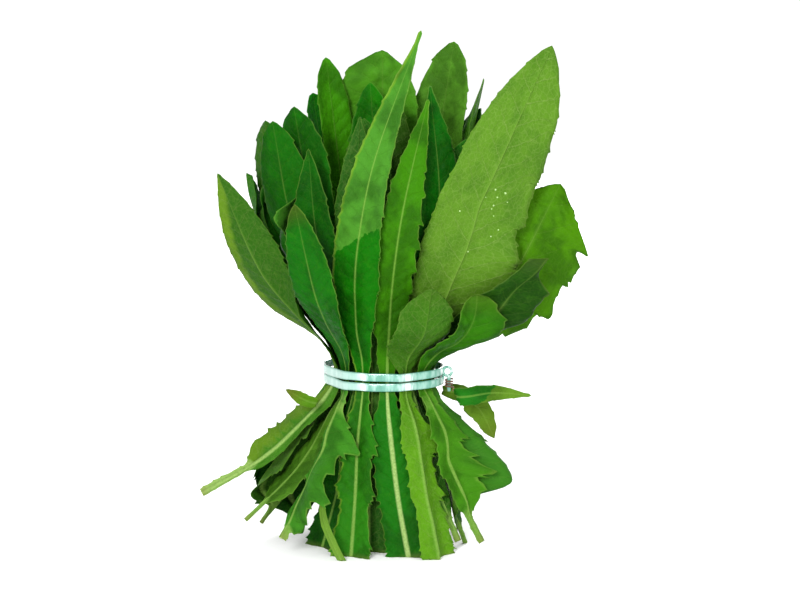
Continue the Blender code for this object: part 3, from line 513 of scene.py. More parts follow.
# How a leaf looks. out: 1 if its upper side faces outwards, -1 if its underside does. blade: the
# outward face's colour above the tie. low: the same below it. rib, stem: how pale the midrib is
# above the tie, and below it. veins: how clear the side veins are. rim: how pale its edge is.
# brown: how brown the tip is. jag: the height of extra teeth in millimetres. strip: a band along
# one edge, as its side, width and colour. turned: where the outward face turns over, as a distance
# above the tie, its slope across the leaf and the colour beyond it. trim: a stretch above the tie
# where the right edge is drawn in, as its middle, half length and share. inner: the other face's
# colour above the tie, where the front shows it.
Look = namedtuple(
    "Look",
    "out blade low rib stem veins rim brown jag strip turned trim inner",
    defaults=(0.4, 0.5, 0.4, 0.4, 0.0, 0.0, None, None, None, None),
)
# Each leaf's colours match how it looked in its place in the lit bunch, so besides its own colour they
# hold painted light and painted shade: the darkest blades are partly painted shade.
LOOKS = {
    # On leaf_left, the band along its left edge is painted light: light shining through the thin edge.
    "leaf_left": Look(-1, (48, 104, 16), (70, 138, 28), 0.4, 0.8, 0.35, 0.4, 0.0, 0.5,
                      (-1, 9.0, (103, 146, 30))),
    "leaf_front_left": Look(1, (18, 112, 12), (66, 144, 34), 0.5, 0.5, 0.2, 0.6, 0.3, 0.7),
    "leaf_tall": Look(1, (14, 118, 3), (44, 132, 18), 0.8, 0.5, 0.2, 0.7, 0.0, 0.8,
                      (-1, 1.6, (110, 165, 40)), (92.0, -0.9, (78, 152, 42))),
    "leaf_scalloped": Look(1, (62, 138, 5), (22, 116, 12), 0.6, 1.0, 0.2, 0.7, 0.0, 1.9),
    "leaf_dark": Look(1, (6, 106, 8), (8, 106, 10), 0.4, 0.4, 0.3, 0.6, 0.0, 1.7),
    "leaf_left_mid": Look(1, (8, 92, 4), (14, 98, 8), 0.3, 0.4, 0.3, 0.5, 0.0, 0.6),
    "leaf_broad_right": Look(-1, (98, 150, 36), (52, 126, 24), 0.6, 0.5, 0.9, 0.3, 0.0, 0.4,
                             None, None, (84, 46, 0.3)),
    "leaf_frilled": Look(1, (78, 144, 3), (104, 158, 46), 0.6, 0.4, 0.8, 0.5, 0.0, 6.5),
    "leaf_right_mid": Look(1, (36, 82, 14), (60, 130, 30), 0.3, 0.4, 0.4, 0.4, 0.1, 0.6),
    "leaf_short_front": Look(-1, (62, 120, 18), (98, 164, 20), 0.3, 0.4, 0.5, 0.5, 0.1, 0.9),
    "leaf_short_right": Look(1, (50, 122, 8), (70, 142, 20), 0.3, 0.4, 0.3, 0.5, 0.2, 0.8),
    "leaf_left_back": Look(-1, (40, 100, 14), (80, 134, 34), 0.3, 0.4, 0.3, 0.3,
                      inner=(24, 112, 6)),
    "leaf_left_second": Look(1, (16, 104, 5), (84, 138, 34), 0.4, 0.4, 0.3, 0.5, 0.0, 0.6),
    "leaf_left_inner": Look(1, (18, 112, 5), (20, 98, 8), 0.4, 0.4, 0.3, 0.5, 0.0, 0.6),
    "leaf_upright": Look(-1, (50, 116, 20), (30, 100, 12), 0.3, 0.4, 0.4, 0.4,
                      inner=(66, 154, 8)),
    "leaf_broad_back": Look(-1, (60, 122, 26), (30, 100, 12), 0.4, 0.4, 0.6, 0.4,
                      inner=(82, 158, 30)),
    "leaf_back_right": Look(-1, (60, 122, 26), (30, 100, 12), 0.4, 0.4, 0.6, 0.4,
                      inner=(96, 164, 42)),
    "leaf_curled": Look(-1, (60, 122, 20), (30, 100, 12), 0.5, 0.4, 0.6, 0.4, 0.0, 0.8,
                      inner=(80, 154, 18)),
    "leaf_petiole": Look(1, (104, 156, 36), (104, 156, 36), 0.8, 0.7, 0.0, 0.0, 0.5),
    "leaf_droop_right": Look(1, (36, 128, 25), (36, 128, 25), 0.6, 0.5, 0.2, 0.5, 0.0, 0.5, None,
                             (26.0, 0.9, (104, 150, 38))),
    "leaf_droop_ragged": Look(1, (104, 146, 35), (104, 146, 35), 0.5, 0.5, 0.5, 0.5, 0.3, 2.0),
    "leaf_droop_left": Look(1, (96, 150, 26), (96, 150, 26), 0.5, 0.5, 0.3, 0.5, 0.6, 0.5),
}
PLAIN_BLADE = (40, 112, 15)
PLAIN_INNER = (24, 124, 6)
PLAIN_LOW = (24, 104, 12)
PLAIN_SPREAD = (12, 16, 4)

# Colours on the 0 to 255 scale that more than one leaf shares.
DEEP_GREEN = (10, 90, 5)
PALE_UNDER = (120, 160, 70)
PALE_UNDER_LOW = (120, 165, 70)
TOP_VEIN = (140, 184, 80)
UNDER_VEIN = (172, 202, 112)
RIM_COLOUR = (150, 190, 80)
RIB_COLOUR = (150, 192, 84)
STEM_GREEN = (104, 160, 44)
STEM_PALE = (190, 222, 132)
STEM_STREAK = (96, 154, 40)
BROWN_TIP = (104, 88, 36)
NEAR_CUT = (146, 146, 78)
FRESH = (0.09, 0.32, 0.01, 1.0)
BLACK = (0.0, 0.0, 0.0, 1.0)

# Painted shade and painted light, as dark and light patches on a face, like those over folds. full:
# where in the noise the dark ones are darkest. dark, light: how strong each kind is at most. deep,
# shadow: how far the dark ones go towards a colour, and which. starts: where in the noise the light
# ones begin. pale, glow: how far they go towards a colour.
Clouds = namedtuple("Clouds", "full dark deep shadow starts light pale glow")
TOP_FOLD_SHADING = Clouds(0.62, 0.9, 0.55, (0.002, 0.035, 0.001, 1.0),
                    0.5, 0.3, 0.4, (0.08, 0.32, 0.008, 1.0))
UNDER_FOLD_SHADING = Clouds(0.65, 0.85, 0.4, (0.02, 0.12, 0.005, 1.0),
                      0.45, 0.35, 0.35, (0.22, 0.38, 0.06, 1.0))

# The share of each colour that is kept once the light's own strength is allowed for, how far the
# bump map billows, and the leaf's faint shine.
BASE_SHARE = 0.5
BILLOW = 9.0
LEAF_SHINE = 0.03

# Drops of water on the broad leaf: distance above the tie, across it, and the drop's radius.
DROPS = (
    (128, 4, 0.6), (124, 8, 0.5), (127, 11, 0.7), (121, 3, 0.4), (119, 9, 0.55), (123, 13, 0.4),
    (116, 6, 0.5), (112, 9, 0.4), (108, -12, 0.45), (104, 14, 0.5), (98, 10, 0.4), (84, 2, 0.4),
)
DROP_FLATNESS = 0.55

# The finer strap and wire. The strap's gap closes near an azimuth, and painted sheen and painted
# highlights whiten it at others.
BAND_STEPS = 160
BAND_SIDES = 20
BAND_LIFT = 0.5
BAND_GAPS = (0.15, 1.0)
BAND_CLOSED = (200.0, 45.0)
BAND_WOBBLE = 0.14
PULL_REACH = 48.0
WOBBLES = ((3, 2, 1.0), (8, 1, 0.6))
BAND_ROUNDING = (0.75, 0.45)
LEAST_MEETING = 0.3
# Painted sheen: the strap's colour whitens round this azimuth.
PAINTED_SHEEN_AT = 205.0
# Painted highlights: white patches round these azimuths, each with its width.
PAINTED_HIGHLIGHTS_AT = ((249.0, 5.0), (297.0, 8.0), (343.0, 6.0))
TUBE_SIDES = 12
FINE_EAR_STEPS = 32
FINE_EAR_SHARE = 0.9
FINE_NECK_ROWS = 8
FOLD_ROWS = 14
FOLD_RADIUS = 0.7
FOLD_LEAN = 4.5
FOLD_SUNK = 0.6
FOLD_REACH = 0.8
MARK_PER_TUBE = 20
FINE_WIRE_SIDES = 10
FINE_WIRE_STEPS = 30
FINE_TAIL_ROWS = 18
STRAND_RADIUS = 0.34
STRAND_APART = 0.27
STRAND_TURN = 1.9


def outline(leaf, length, waist, rng):
    """Fine rows of a leaf: distance from the cut end, and for the left and the right edge the
    share of the half width that it reaches and how far it is drawn back."""
    rows = leaf_rows(leaf, length, waist)
    places, reach, hook = [0.0], [[1.0, 1.0]], [[0.0, 0.0]]
    for (p0, r0, h0), (p1, r1, h1) in zip(rows, rows[1:]):
        count = max(round((p1 - p0) / FINE_STEP), 1)
        for n in range(1, count + 1):
            t = n / count
            cut = 1 - (1 - t) ** TOOTH_CURVE if r1 < r0 else t**TOOTH_CURVE
            places.append(p0 + (p1 - p0) * t)
            reach.append([r0 + (r1 - r0) * cut] * 2)
            hook.append([h0 + (h1 - h0) * t] * 2)
    places, reach, hook = np.array(places), np.array(reach), np.array(hook)
    for side in (0, 1):
        changes = rng.uniform(0.7, 1.15, DEPTH_CHANGES)
        depth = np.interp(places, np.linspace(0, length, DEPTH_CHANGES), changes)
        reach[:, side] = 1 - (1 - reach[:, side]) * depth
    return places, reach, hook


def denticles(places, half, jag, rng):
    """Small sharp teeth along both edges, and a leaf's larger jags, as a length to add to its half
    width."""
    added = np.zeros((len(places), 2))
    for side in (0, 1):
        row = 2
        while row < len(places) - 3:
            size = DENTICLE * rng.uniform(0.3, 1.2) * np.clip(half[row] / 10, 0, 1)
            added[row, side] = size
            added[row + 1, side] = 0.3 * size
            row += int(rng.integers(4, 9))
        row = 3
        mean = JAG_SPACING + round(jag)
        while jag and row < len(places) - mean:
            wide = int(rng.integers(mean - 1, mean + 2))
            size = jag * rng.uniform(0.4, 0.9) * np.clip(half[row] / 16, 0, 1)
            for n in range(wide):
                if row + n < len(places) - 2:
                    added[row + n, side] += size * (n / wide) ** JAG_CURVE
            row += wide
    return added


def fine_edges(leaf, length, waist, look, rng):
    """The leaf's fine rows: their distance from the cut end, the half width to the left and the
    right edge, and how far each edge is drawn back."""
    places, reach, hook = outline(leaf, length, waist, rng)
    above = places - waist
    exact = half_width(leaf, above, length - waist, waist, FINE_TIP_SLOPE)
    before_cap = half_width(leaf, length - waist - TIP_CAP, length - waist, waist, FINE_TIP_SLOPE)
    end = np.clip((length - places) / TIP_CAP, 0, 1)
    cap = np.where(end < 1, before_cap * np.sqrt(1 - (1 - end) ** 2), UNCAPPED)
    exact = np.minimum(exact, TIP_HALF_WIDTH + cap)
    small = denticles(places, exact, look.jag, rng) * (np.abs(above) > SMOOTH_AT_TIE)[:, None]
    small[above < 0] *= SKIRT_JAGS
    hook += TOOTH_BACK * small
    if look.trim:
        middle_of_trim, half_trim, trimmed = look.trim
        drawn = trimmed * smooth_step(1 - np.abs(above - middle_of_trim) / half_trim)
        reach[:, 1] *= 1 - drawn
    half = exact[:, None] * reach + small
    stalk = np.interp(places, [0, length], [STALK_HALF_WIDTH, 0.1])
    return places, np.maximum(half, np.minimum(stalk, exact)[:, None]), hook


def stretched(grid, u, v):
    """Points of the middle surface, carried on a little way past its edge."""
    middle = surface(grid, u, v)
    beyond_edge = np.clip(np.abs(v) - 1, 0, EDGE_REACH)
    near_edge = surface(grid, u, np.sign(v) * (1 - EDGE_STEP))
    return middle + (middle - near_edge) * (beyond_edge / EDGE_STEP)[..., None]


def sheet_normals(middle):
    """The direction square to the surface at each of its points."""
    normal = np.cross(np.gradient(middle, axis=1), np.gradient(middle, axis=0))
    return normal / np.maximum(np.linalg.norm(normal, axis=-1), 1e-9)[..., None]


def vein_spacing(leaf):
    """How far apart the leaf's side veins are along its midrib."""
    return max(LEAST_VEIN_SPACING, 0.5 * leaf.width)


def vein_relief(leaf, places, side, half, rib, sign, start):
    """How far the blade stands out between its side veins, and how far its edge waves."""
    run = places[:, None] - VEIN_LEAN * side - VEIN_CURVE * side**2 / leaf.width
    turn = run / vein_spacing(leaf) + 0.5 * (sign > 0)
    off_vein = np.abs(turn - np.rint(turn)) * vein_spacing(leaf)
    bulge = 1 - np.exp(-((off_vein / PUCKER_WIDTH) ** 2))
    share = side / half
    blade = smooth_step((half - 5) / 5) * smooth_step((side - rib) / 2.5)
    relief = PUCKER * (bulge - 0.5) * blade * smooth_step((1 - share) / 0.12)
    wave = np.sin(places[:, None] / WAVE_LENGTH + start + WAVE_OFFSET * sign)
    return relief + EDGE_WAVE * wave * share**2 * smooth_step((half - 6) / 6)


def sheet_faces(rows, wide):
    """Faces of an upper and a lower sheet of points with a closed edge, with the
    material of each."""
    top = np.arange(rows * wide).reshape(rows, wide)
    under = top + rows * wide
    faces = [
        np.stack([top[:-1, :-1], top[:-1, 1:], top[1:, 1:], top[1:, :-1]], -1),
        np.stack([under[:-1, :-1], under[1:, :-1], under[1:, 1:], under[:-1, 1:]], -1),
        np.stack([top[:-1, 0], top[1:, 0], under[1:, 0], under[:-1, 0]], -1),
        np.stack([top[1:, -1], top[:-1, -1], under[:-1, -1], under[1:, -1]], -1),
        np.stack([top[0, 1:], top[0, :-1], under[0, :-1], under[0, 1:]], -1),
        np.stack([top[-1, :-1], top[-1, 1:], under[-1, 1:], under[-1, :-1]], -1),
    ]
    faces = np.concatenate([some.reshape(-1, 4) for some in faces])
    kinds = np.zeros(len(faces), int)
    cut_end = len(faces) - 2 * (wide - 1)
    kinds[cut_end:cut_end + wide - 1] = CUT_END
    return faces, kinds


def fine_leaf(leaf, grid, width, length, waist, look):
    """The finer leaf's mesh: an upper and a lower face, closed round the edge, with what its
    material reads kept at each point."""
    rng = np.random.default_rng(FINE_SEED + sum(map(ord, leaf.name)))
    places, half, hook = fine_edges(leaf, length, waist, look, rng)
    fine_from = min(waist + RIB_FINE_ABOVE, length - 1)
    rib = np.interp(places, [0, max(waist, 1.0), fine_from, length], RIB_HALF_WIDTHS)[:, None]
    rib = np.minimum(rib * (0.5 + 0.5 * look.stem), RIB_MOST * half)
    columns = np.linspace(-1, 1, 2 * FINE_HALF_COLUMNS + 1)
    out, sign = np.abs(columns)[None, :], np.sign(columns)[None, :]
    right = (columns > 0).astype(int)
    half, rib, hook = half[:, right], rib[:, right], hook[:, right]
    inside = rib * out / RIB_COLUMN_SHARE
    beyond = rib + (half - rib) * (out - RIB_COLUMN_SHARE) / (1 - RIB_COLUMN_SHARE)
    side = np.where(out < RIB_COLUMN_SHARE, inside, beyond)
    share = side / half
    coarse = np.interp(places, np.linspace(0, length, GRID_ROWS), width)
    shift = hook * (1 + EDGE_STAGGER * (sign * share)) * share**2
    middle = stretched(grid, (places[:, None] - shift) / length, sign * side / coarse[:, None])
    normal = sheet_normals(middle) * look.out
    relief = vein_relief(leaf, places, side, half, rib, sign, rng.uniform(0, 6))
    middle += normal * relief[..., None]

    from_rim = np.maximum(share - (1 - RIM_SHARE), 0) / RIM_SHARE
    rim = np.sqrt(np.clip(1 - from_rim**2, 0, 1))
    thick = RIM_HALF_THICKNESS + (FACE_HALF_THICKNESS - RIM_HALF_THICKNESS) * rim
    round_rib = np.sqrt(np.clip(1 - (side / np.maximum(rib, 0.01)) ** 2, 0, 1))
    size = np.interp(places, [0, max(waist, 1.0), length], RIB_SHARES)[:, None]
    rise = round_rib * size * STALK_THICKNESS / 2 * np.minimum(1, half / 2.0)
    if leaf.waist:
        bare = 1 - smooth_step((half - 3.0) / 3.0)
        bare *= smooth_step((waist + 4 - places)[:, None] / 10.0)
    else:
        bare = np.full_like(half, 1.0 if leaf.teeth == 1 else 0.0)
    upper = middle + normal * (thick + rise * (RISE_ABOVE + RISE_OF_STALK * bare))[..., None]
    lower = middle - normal * (thick + rise * RISE_UNDER)[..., None]
    faces, kinds = sheet_faces(*side.shape)
    if look.out < 0:
        faces = faces[:, ::-1]

    same = np.zeros_like(side)
    flat = np.stack([same + (places - waist)[:, None], side * sign, half - side], -1)
    from_foot = same + places[:, None]
    ends = np.stack([from_foot, length - from_foot, same + waist], -1)
    on_rib = smooth_step((rib * 1.05 - side) / (0.3 * rib + 0.05))
    marks = {
        "flat": np.concatenate([flat.reshape(-1, 3)] * 2),
        "ends": np.concatenate([ends.reshape(-1, 3)] * 2),
        "rib": np.concatenate([np.maximum(on_rib, bare * 0.9).ravel()] * 2),
        "under": np.repeat([0.0, 1.0], side.size),
    }
    points = np.concatenate([upper.reshape(-1, 3), lower.reshape(-1, 3)])
    return points, faces.tolist(), kinds, marks


def mesh_object(name, points, faces, kinds, marks, materials):
    """A shaded object from points in millimetres."""
    mesh = bpy.data.meshes.new(name)
    mesh.from_pydata((np.array(points) * MM).tolist(), [], faces)
    for mark, values in marks.items():
        vector = values.ndim == 2
        layer = mesh.attributes.new(mark, "FLOAT_VECTOR" if vector else "FLOAT", "POINT")
        key = "vector" if vector else "value"
        layer.data.foreach_set(key, values.astype(np.float32).ravel())
    for item in materials:
        mesh.materials.append(item)
    mesh.polygons.foreach_set("material_index", np.array(kinds, np.int32))
    mesh.shade_smooth()
    obj = bpy.data.objects.new(name, mesh)
    bpy.context.scene.collection.objects.link(obj)
    return obj


def cut_level(obj):
    """Cuts the stalk level with the surface that it stands on, and caps it."""
    if min(v.co.z for v in obj.data.vertices) > -STANDS_BELOW:
        return
    shape = bmesh.new()
    shape.from_mesh(obj.data)
    everything = shape.verts[:] + shape.edges[:] + shape.faces[:]
    cut = bmesh.ops.bisect_plane(
        shape, geom=everything, plane_co=(0, 0, CUT_HEIGHT), plane_no=(0, 0, -1), clear_outer=True
    )
    rim = [e for e in cut["geom_cut"] if isinstance(e, bmesh.types.BMEdge)]
    made = bmesh.ops.edgenet_fill(shape, edges=rim)
    for face in made["faces"]:
        face.material_index = CUT_END
        face.smooth = False
        face.normal_update()
        if face.normal.z > 0:
            face.normal_flip()
    shape.to_mesh(obj.data)
    shape.free()


def add_drops(obj, flat, outward, points):
    """Half-sunk drops of water on the leaf's outward face."""
    normals = [tuple(v.normal) for v in obj.data.vertices]
    shape = bmesh.new()
    shape.from_mesh(obj.data)
    for above, across, radius in DROPS:
        away = (flat[:, 0] - above) ** 2 + (flat[:, 1] - across) ** 2
        nearest = int(np.argmin(np.where(outward, away, np.inf)))
        before = len(shape.verts)
        made = bmesh.ops.create_icosphere(shape, subdivisions=2, radius=radius * MM)
        out = Vector(normals[nearest])
        for vert in made["verts"]:
            vert.co -= out * vert.co.dot(out) * (1 - DROP_FLATNESS)
            vert.co += Vector(points[nearest]) * MM
        shape.verts.ensure_lookup_table()
        for face in {f for v in shape.verts[before:] for f in v.link_faces}:
            face.material_index = WATER
            face.smooth = True
    shape.to_mesh(obj.data)
    shape.free()


def linear(colour):
    """A colour given as 0 to 255 in the picture's scale, as the light it sends back."""
    c = np.array(colour, float) / 255
    return tuple(np.where(c <= 0.04045, c / 12.92, ((c + 0.055) / 1.055) ** 2.4)) + (1.0,)


class Nodes:
    """Builds a material's nodes with few words."""

    def __init__(self, name):
        self.material = bpy.data.materials.new(name)
        self.material.use_nodes = True
        self.tree = self.material.node_tree
        self.shader = self.tree.nodes["Principled BSDF"]

    def plug(self, socket, value):
        if isinstance(value, bpy.types.NodeSocket):
            self.tree.links.new(value, socket)
        elif value is not None:
            socket.default_value = value

    def math(self, operation, a, b=None, c=None, clamp=False):
        node = self.tree.nodes.new("ShaderNodeMath")
        node.operation = operation
        node.use_clamp = clamp
        for socket, value in zip(node.inputs, (a, b, c)):
            self.plug(socket, value)
        return node.outputs[0]

    def times(self, a, b):
        return self.math("MULTIPLY", a, b)

    def plus(self, a, b):
        return self.math("ADD", a, b)

    def times_plus(self, a, b, c):
        return self.math("MULTIPLY_ADD", a, b, c)

    def distance(self, a, b):
        return self.math("ABSOLUTE", self.math("SUBTRACT", a, b))

    def ramp(self, value, low, high, out_low=0.0, out_high=1.0):
        node = self.tree.nodes.new("ShaderNodeMapRange")
        node.interpolation_type = "SMOOTHSTEP"
        for n, v in enumerate((value, low, high, out_low, out_high)):
            self.plug(node.inputs[n], v)
        return node.outputs[0]

    def mix(self, share, a, b):
        node = self.tree.nodes.new("ShaderNodeMix")
        node.data_type = "RGBA"
        self.plug(node.inputs[0], share)
        self.plug(node.inputs[6], a)
        self.plug(node.inputs[7], b)
        return node.outputs[2]

    def attribute(self, name, output):
        node = self.tree.nodes.new("ShaderNodeAttribute")
        node.attribute_name = name
        return node.outputs[output]

    def noise(self, vector, scale, detail=2.0, roughness=0.5):
        node = self.tree.nodes.new("ShaderNodeTexNoise")
        self.plug(node.inputs["Vector"], vector)
        node.inputs["Scale"].default_value = scale
        node.inputs["Detail"].default_value = detail
        node.inputs["Roughness"].default_value = roughness
        return node.outputs["Fac"]

    def cells(self, vector, scale):
        node = self.tree.nodes.new("ShaderNodeTexVoronoi")
        node.feature = "DISTANCE_TO_EDGE"
        self.plug(node.inputs["Vector"], vector)
        node.inputs["Scale"].default_value = scale
        return node.outputs["Distance"]

    def bump(self, height, strength, distance):
        node = self.tree.nodes.new("ShaderNodeBump")
        node.inputs["Strength"].default_value = strength
        node.inputs["Distance"].default_value = distance
        self.plug(node.inputs["Height"], height)
        return node.outputs["Normal"]

    def moved(self, vector, shift):
        node = self.tree.nodes.new("ShaderNodeVectorMath")
        node.operation = "ADD"
        self.plug(node.inputs[0], vector)
        node.inputs[1].default_value = shift
        return node.outputs[0]

    def parts(self, vector):
        node = self.tree.nodes.new("ShaderNodeSeparateXYZ")
        self.plug(node.inputs[0], vector)
        return node.outputs

    def in_object(self):
        return self.tree.nodes.new("ShaderNodeTexCoord").outputs["Object"]

    def finish(self, colour, roughness, normal=None, **steady):
        """Gives the shader its colour, roughness and bump, and values that are the same all over,
        such as Coat_Weight."""
        self.plug(self.shader.inputs["Base Color"], colour)
        self.plug(self.shader.inputs["Roughness"], roughness)
        if normal:
            self.plug(self.shader.inputs["Normal"], normal)
        for name, value in steady.items():
            self.shader.inputs[name.replace("_", " ")].default_value = value
        return self.material


def shade(colour, factor, toward=(0, 0, 0), share=0.0):
    """A colour drawn towards another, then made lighter or darker."""
    c = np.array(colour, float)
    return tuple(np.clip((c * (1 - share) + np.array(toward, float) * share) * factor, 0, 255))


# What a leaf's material reads at a point. place: distance above the tie. across: from the midrib,
# to the right. to_edge, from_foot, to_tip: distances. tie_at: the tie's distance from the foot.
# spot: the flattened leaf's point, moved so that no two leaves match. under, rib: 1 on the lower
# face, and on the midrib. broad, patch, fine: noises of three sizes.
Point = namedtuple(
    "Point", "place across to_edge from_foot to_tip tie_at flat spot under rib broad patch fine"
)


def point_on(n, leaf):
    """The nodes that say where on the leaf a point is."""
    rng = np.random.default_rng(FINE_SEED + 3 * sum(map(ord, leaf.name)))
    flat = n.attribute("flat", "Vector")
    under = n.attribute("under", "Fac")
    rib = n.attribute("rib", "Fac")
    spot = n.moved(flat, tuple(rng.uniform(-500, 500, 2)) + (0.0,))
    noises = [n.noise(spot, 0.045, 2.0, 0.55), n.noise(spot, 0.22, 3.0, 0.6),
              n.noise(spot, 1.6, 2.0, 0.6)]
    return Point(*n.parts(flat), *n.parts(n.attribute("ends", "Vector")), flat, spot, under, rib,
                 *noises)


def face_colours(n, at, look):
    """The colours of the upper and the lower face, above and below the tie."""
    if look.out > 0:
        upper, low_upper = look.blade, look.low
        lower = look.inner or shade(look.blade, 1.15, PALE_UNDER, 0.45)
        low_lower = shade(look.low, 1.1, PALE_UNDER_LOW, 0.4)
    else:
        upper = look.inner or shade(look.blade, 0.85, DEEP_GREEN, 0.3)
        low_upper = shade(look.low, 0.8, DEEP_GREEN, 0.3)
        lower, low_lower = look.blade, look.low
    below = n.ramp(at.place, 5.0, -12.0)
    top = n.mix(below, linear(upper), linear(low_upper))
    under = n.mix(below, linear(lower), linear(low_lower))
    if look.turned:
        begins, slope, colour = look.turned
        ragged = n.times_plus(n.noise(at.spot, 0.3, 2.0), 9.0, -4.5)
        line = n.plus(n.times_plus(at.across, slope, at.place), ragged)
        top = n.mix(n.ramp(line, begins, begins + 0.8), top, linear(colour))
    # A band along one edge; on leaf_left it is painted light shining through the thin edge.
    if look.strip:
        sign, wide, colour = look.strip
        on_side = n.math("GREATER_THAN", n.times(at.across, sign), 0.0)
        strip = n.times(n.ramp(at.to_edge, wide, 0.5 * wide), on_side)
        if look.out > 0:
            top = n.mix(strip, top, linear(colour))
        else:
            under = n.mix(strip, under, linear(colour))
    return top, under


def painted_fold_shading(n, at, colour, fold_shading):
    """A face's colour with dark patches of painted shade and light patches of painted light, as over
    folds.
    """
    dark = n.mix(n.ramp(at.broad, 0.42, fold_shading.full, 0.0, fold_shading.dark), colour,
                 n.mix(fold_shading.deep, colour, fold_shading.shadow))
    return n.mix(n.ramp(at.patch, fold_shading.starts, 0.75, 0.0, fold_shading.light), dark,
                 n.mix(fold_shading.pale, colour, fold_shading.glow))


def vein_masks(n, at, leaf):
    """Where the side veins are, and the net of small veins between them."""
    side = n.math("ABSOLUTE", at.across)
    bend = n.times(n.times(side, side), VEIN_CURVE / leaf.width)
    waver = n.times_plus(at.patch, 3.2, -1.6)
    run = n.math("SUBTRACT", n.times_plus(side, -VEIN_LEAN, at.place), bend)
    run = n.plus(n.plus(run, waver), at.tie_at)
    half_turn = n.times(n.math("GREATER_THAN", at.across, 0.0), 0.5)
    turn = n.times_plus(run, 1 / vein_spacing(leaf), half_turn)
    off_vein = n.times(n.distance(turn, n.math("ROUND", turn)), vein_spacing(leaf))
    taper = n.ramp(side, 0.0, 0.9 * leaf.width, 0.5, 0.16)
    vein = n.math("SUBTRACT", 1.0, n.math("DIVIDE", off_vein, taper), clamp=True)
    vein = n.times(vein, n.ramp(at.to_edge, 0.3, 3.0))
    wide_net = n.times(n.ramp(n.cells(at.spot, 0.3), 0.09, 0.0), 0.55)
    close_net = n.times(n.ramp(n.cells(at.spot, 0.85), 0.1, 0.0), 0.25)
    net = n.times(n.math("MAXIMUM", wide_net, close_net), n.ramp(at.rib, 0.6, 0.0))
    return vein, net


def rib_colour(n, at, look, face, blade):
    """The midrib's colour: near its face's above the tie, paler below, lost in the blade's at the
    tip."""
    above = n.mix(0.25 + 0.5 * look.rib, face, linear(RIB_COLOUR))
    below = linear(shade(STEM_GREEN, 1.0, STEM_PALE, look.stem))
    streak = n.noise(n.moved(at.flat, (0, 7, 0)), 0.9, 2.0)
    below = n.mix(n.ramp(streak, 0.35, 0.75, 0.0, 0.45), below, linear(STEM_STREAK))
    colour = n.mix(n.ramp(at.place, 12.0, -6.0), above, below)
    return n.mix(n.ramp(at.to_tip, 60.0, 5.0, 0.0, 0.6), colour, blade)


def leaf_material(leaf, look):
    """Blade, veins, midrib and rim of one leaf, for both of its sides."""
    n = Nodes(leaf.name)
    at = point_on(n, leaf)
    top, under = face_colours(n, at, look)
    # Painted shade and painted light of folds, as patches on each face.
    colour = n.mix(at.under, painted_fold_shading(n, at, top, TOP_FOLD_SHADING), painted_fold_shading(n, at, under, UNDER_FOLD_SHADING))
    colour = n.mix(n.ramp(at.fine, 0.4, 0.75, 0.0, 0.18), colour, n.mix(0.5, colour, FRESH))

    vein, net = vein_masks(n, at, leaf)
    vein_colour = n.mix(at.under, n.mix(0.45, top, linear(TOP_VEIN)),
                        n.mix(0.5, under, linear(UNDER_VEIN)))
    clear = n.times_plus(at.under, 0.4, 0.35)
    colour = n.mix(n.times(n.times(net, clear), 0.8 * look.veins + 0.15), colour, vein_colour)
    colour = n.mix(n.times(n.times(vein, clear), look.veins), colour, vein_colour)

    rim = n.times(n.ramp(at.to_edge, 0.7, 0.1), look.rim)
    colour = n.mix(rim, colour, n.mix(0.5, colour, linear(RIM_COLOUR)))
    outward = top if look.out > 0 else under
    colour = n.mix(n.times(at.rib, 0.9), colour, rib_colour(n, at, look, outward, colour))
    if look.brown:
        colour = n.mix(n.ramp(at.to_tip, 16.0, 1.0, 0.0, look.brown), colour, linear(BROWN_TIP))
    if leaf.waist or leaf.teeth == 1:
        colour = n.mix(n.ramp(at.from_foot, 8.0, 0.0, 0.0, 0.45), colour, linear(NEAR_CUT))
    colour = n.mix(1 - BASE_SHARE, colour, BLACK)

    height = n.times(n.times_plus(net, 0.6, vein), n.times_plus(at.under, 2.0, -1.0))
    height = n.plus(height, n.times(at.fine, 0.5))
    height = n.plus(height, n.times(n.noise(at.spot, 0.12, 2.0), BILLOW))
    return n.finish(colour, n.ramp(at.patch, 0.3, 0.75, 0.42, 0.6),
                    n.bump(height, 0.75, 0.25 * MM), Specular_IOR_Level=LEAF_SHINE)


def cut_material():
    """The cut end of a stalk: pale and wet, browning in places."""
    n = Nodes("cut_end")
    inside = n.in_object()
    grain, broad = n.noise(inside, 900.0, 3.0), n.noise(inside, 120.0, 2.0)
    colour = n.mix(n.ramp(grain, 0.35, 0.7), linear((176, 196, 120)), linear((140, 168, 84)))
    colour = n.mix(n.ramp(broad, 0.45, 0.7, 0.0, 0.8), colour, linear((126, 98, 58)))
    return n.finish(colour, n.ramp(grain, 0.3, 0.7, 0.3, 0.55), n.bump(grain, 0.4, 0.2 * MM))


def water_material():
    """A drop of water on a leaf: the leaf's green, with paler patches as painted reflection of the light
    above it.
    """
    n = Nodes("water_drop")
    reflection_patches = n.noise(n.in_object(), 700.0, 1.0)
    # Paler patches: painted reflection of the light above the drop.
    colour = n.mix(n.ramp(reflection_patches, 0.35, 0.65), linear((120, 160, 76)), linear((176, 204, 140)))
    return n.finish(colour, n.ramp(reflection_patches, 0.3, 0.7, 0.03, 0.08), Specular_IOR_Level=0.8)


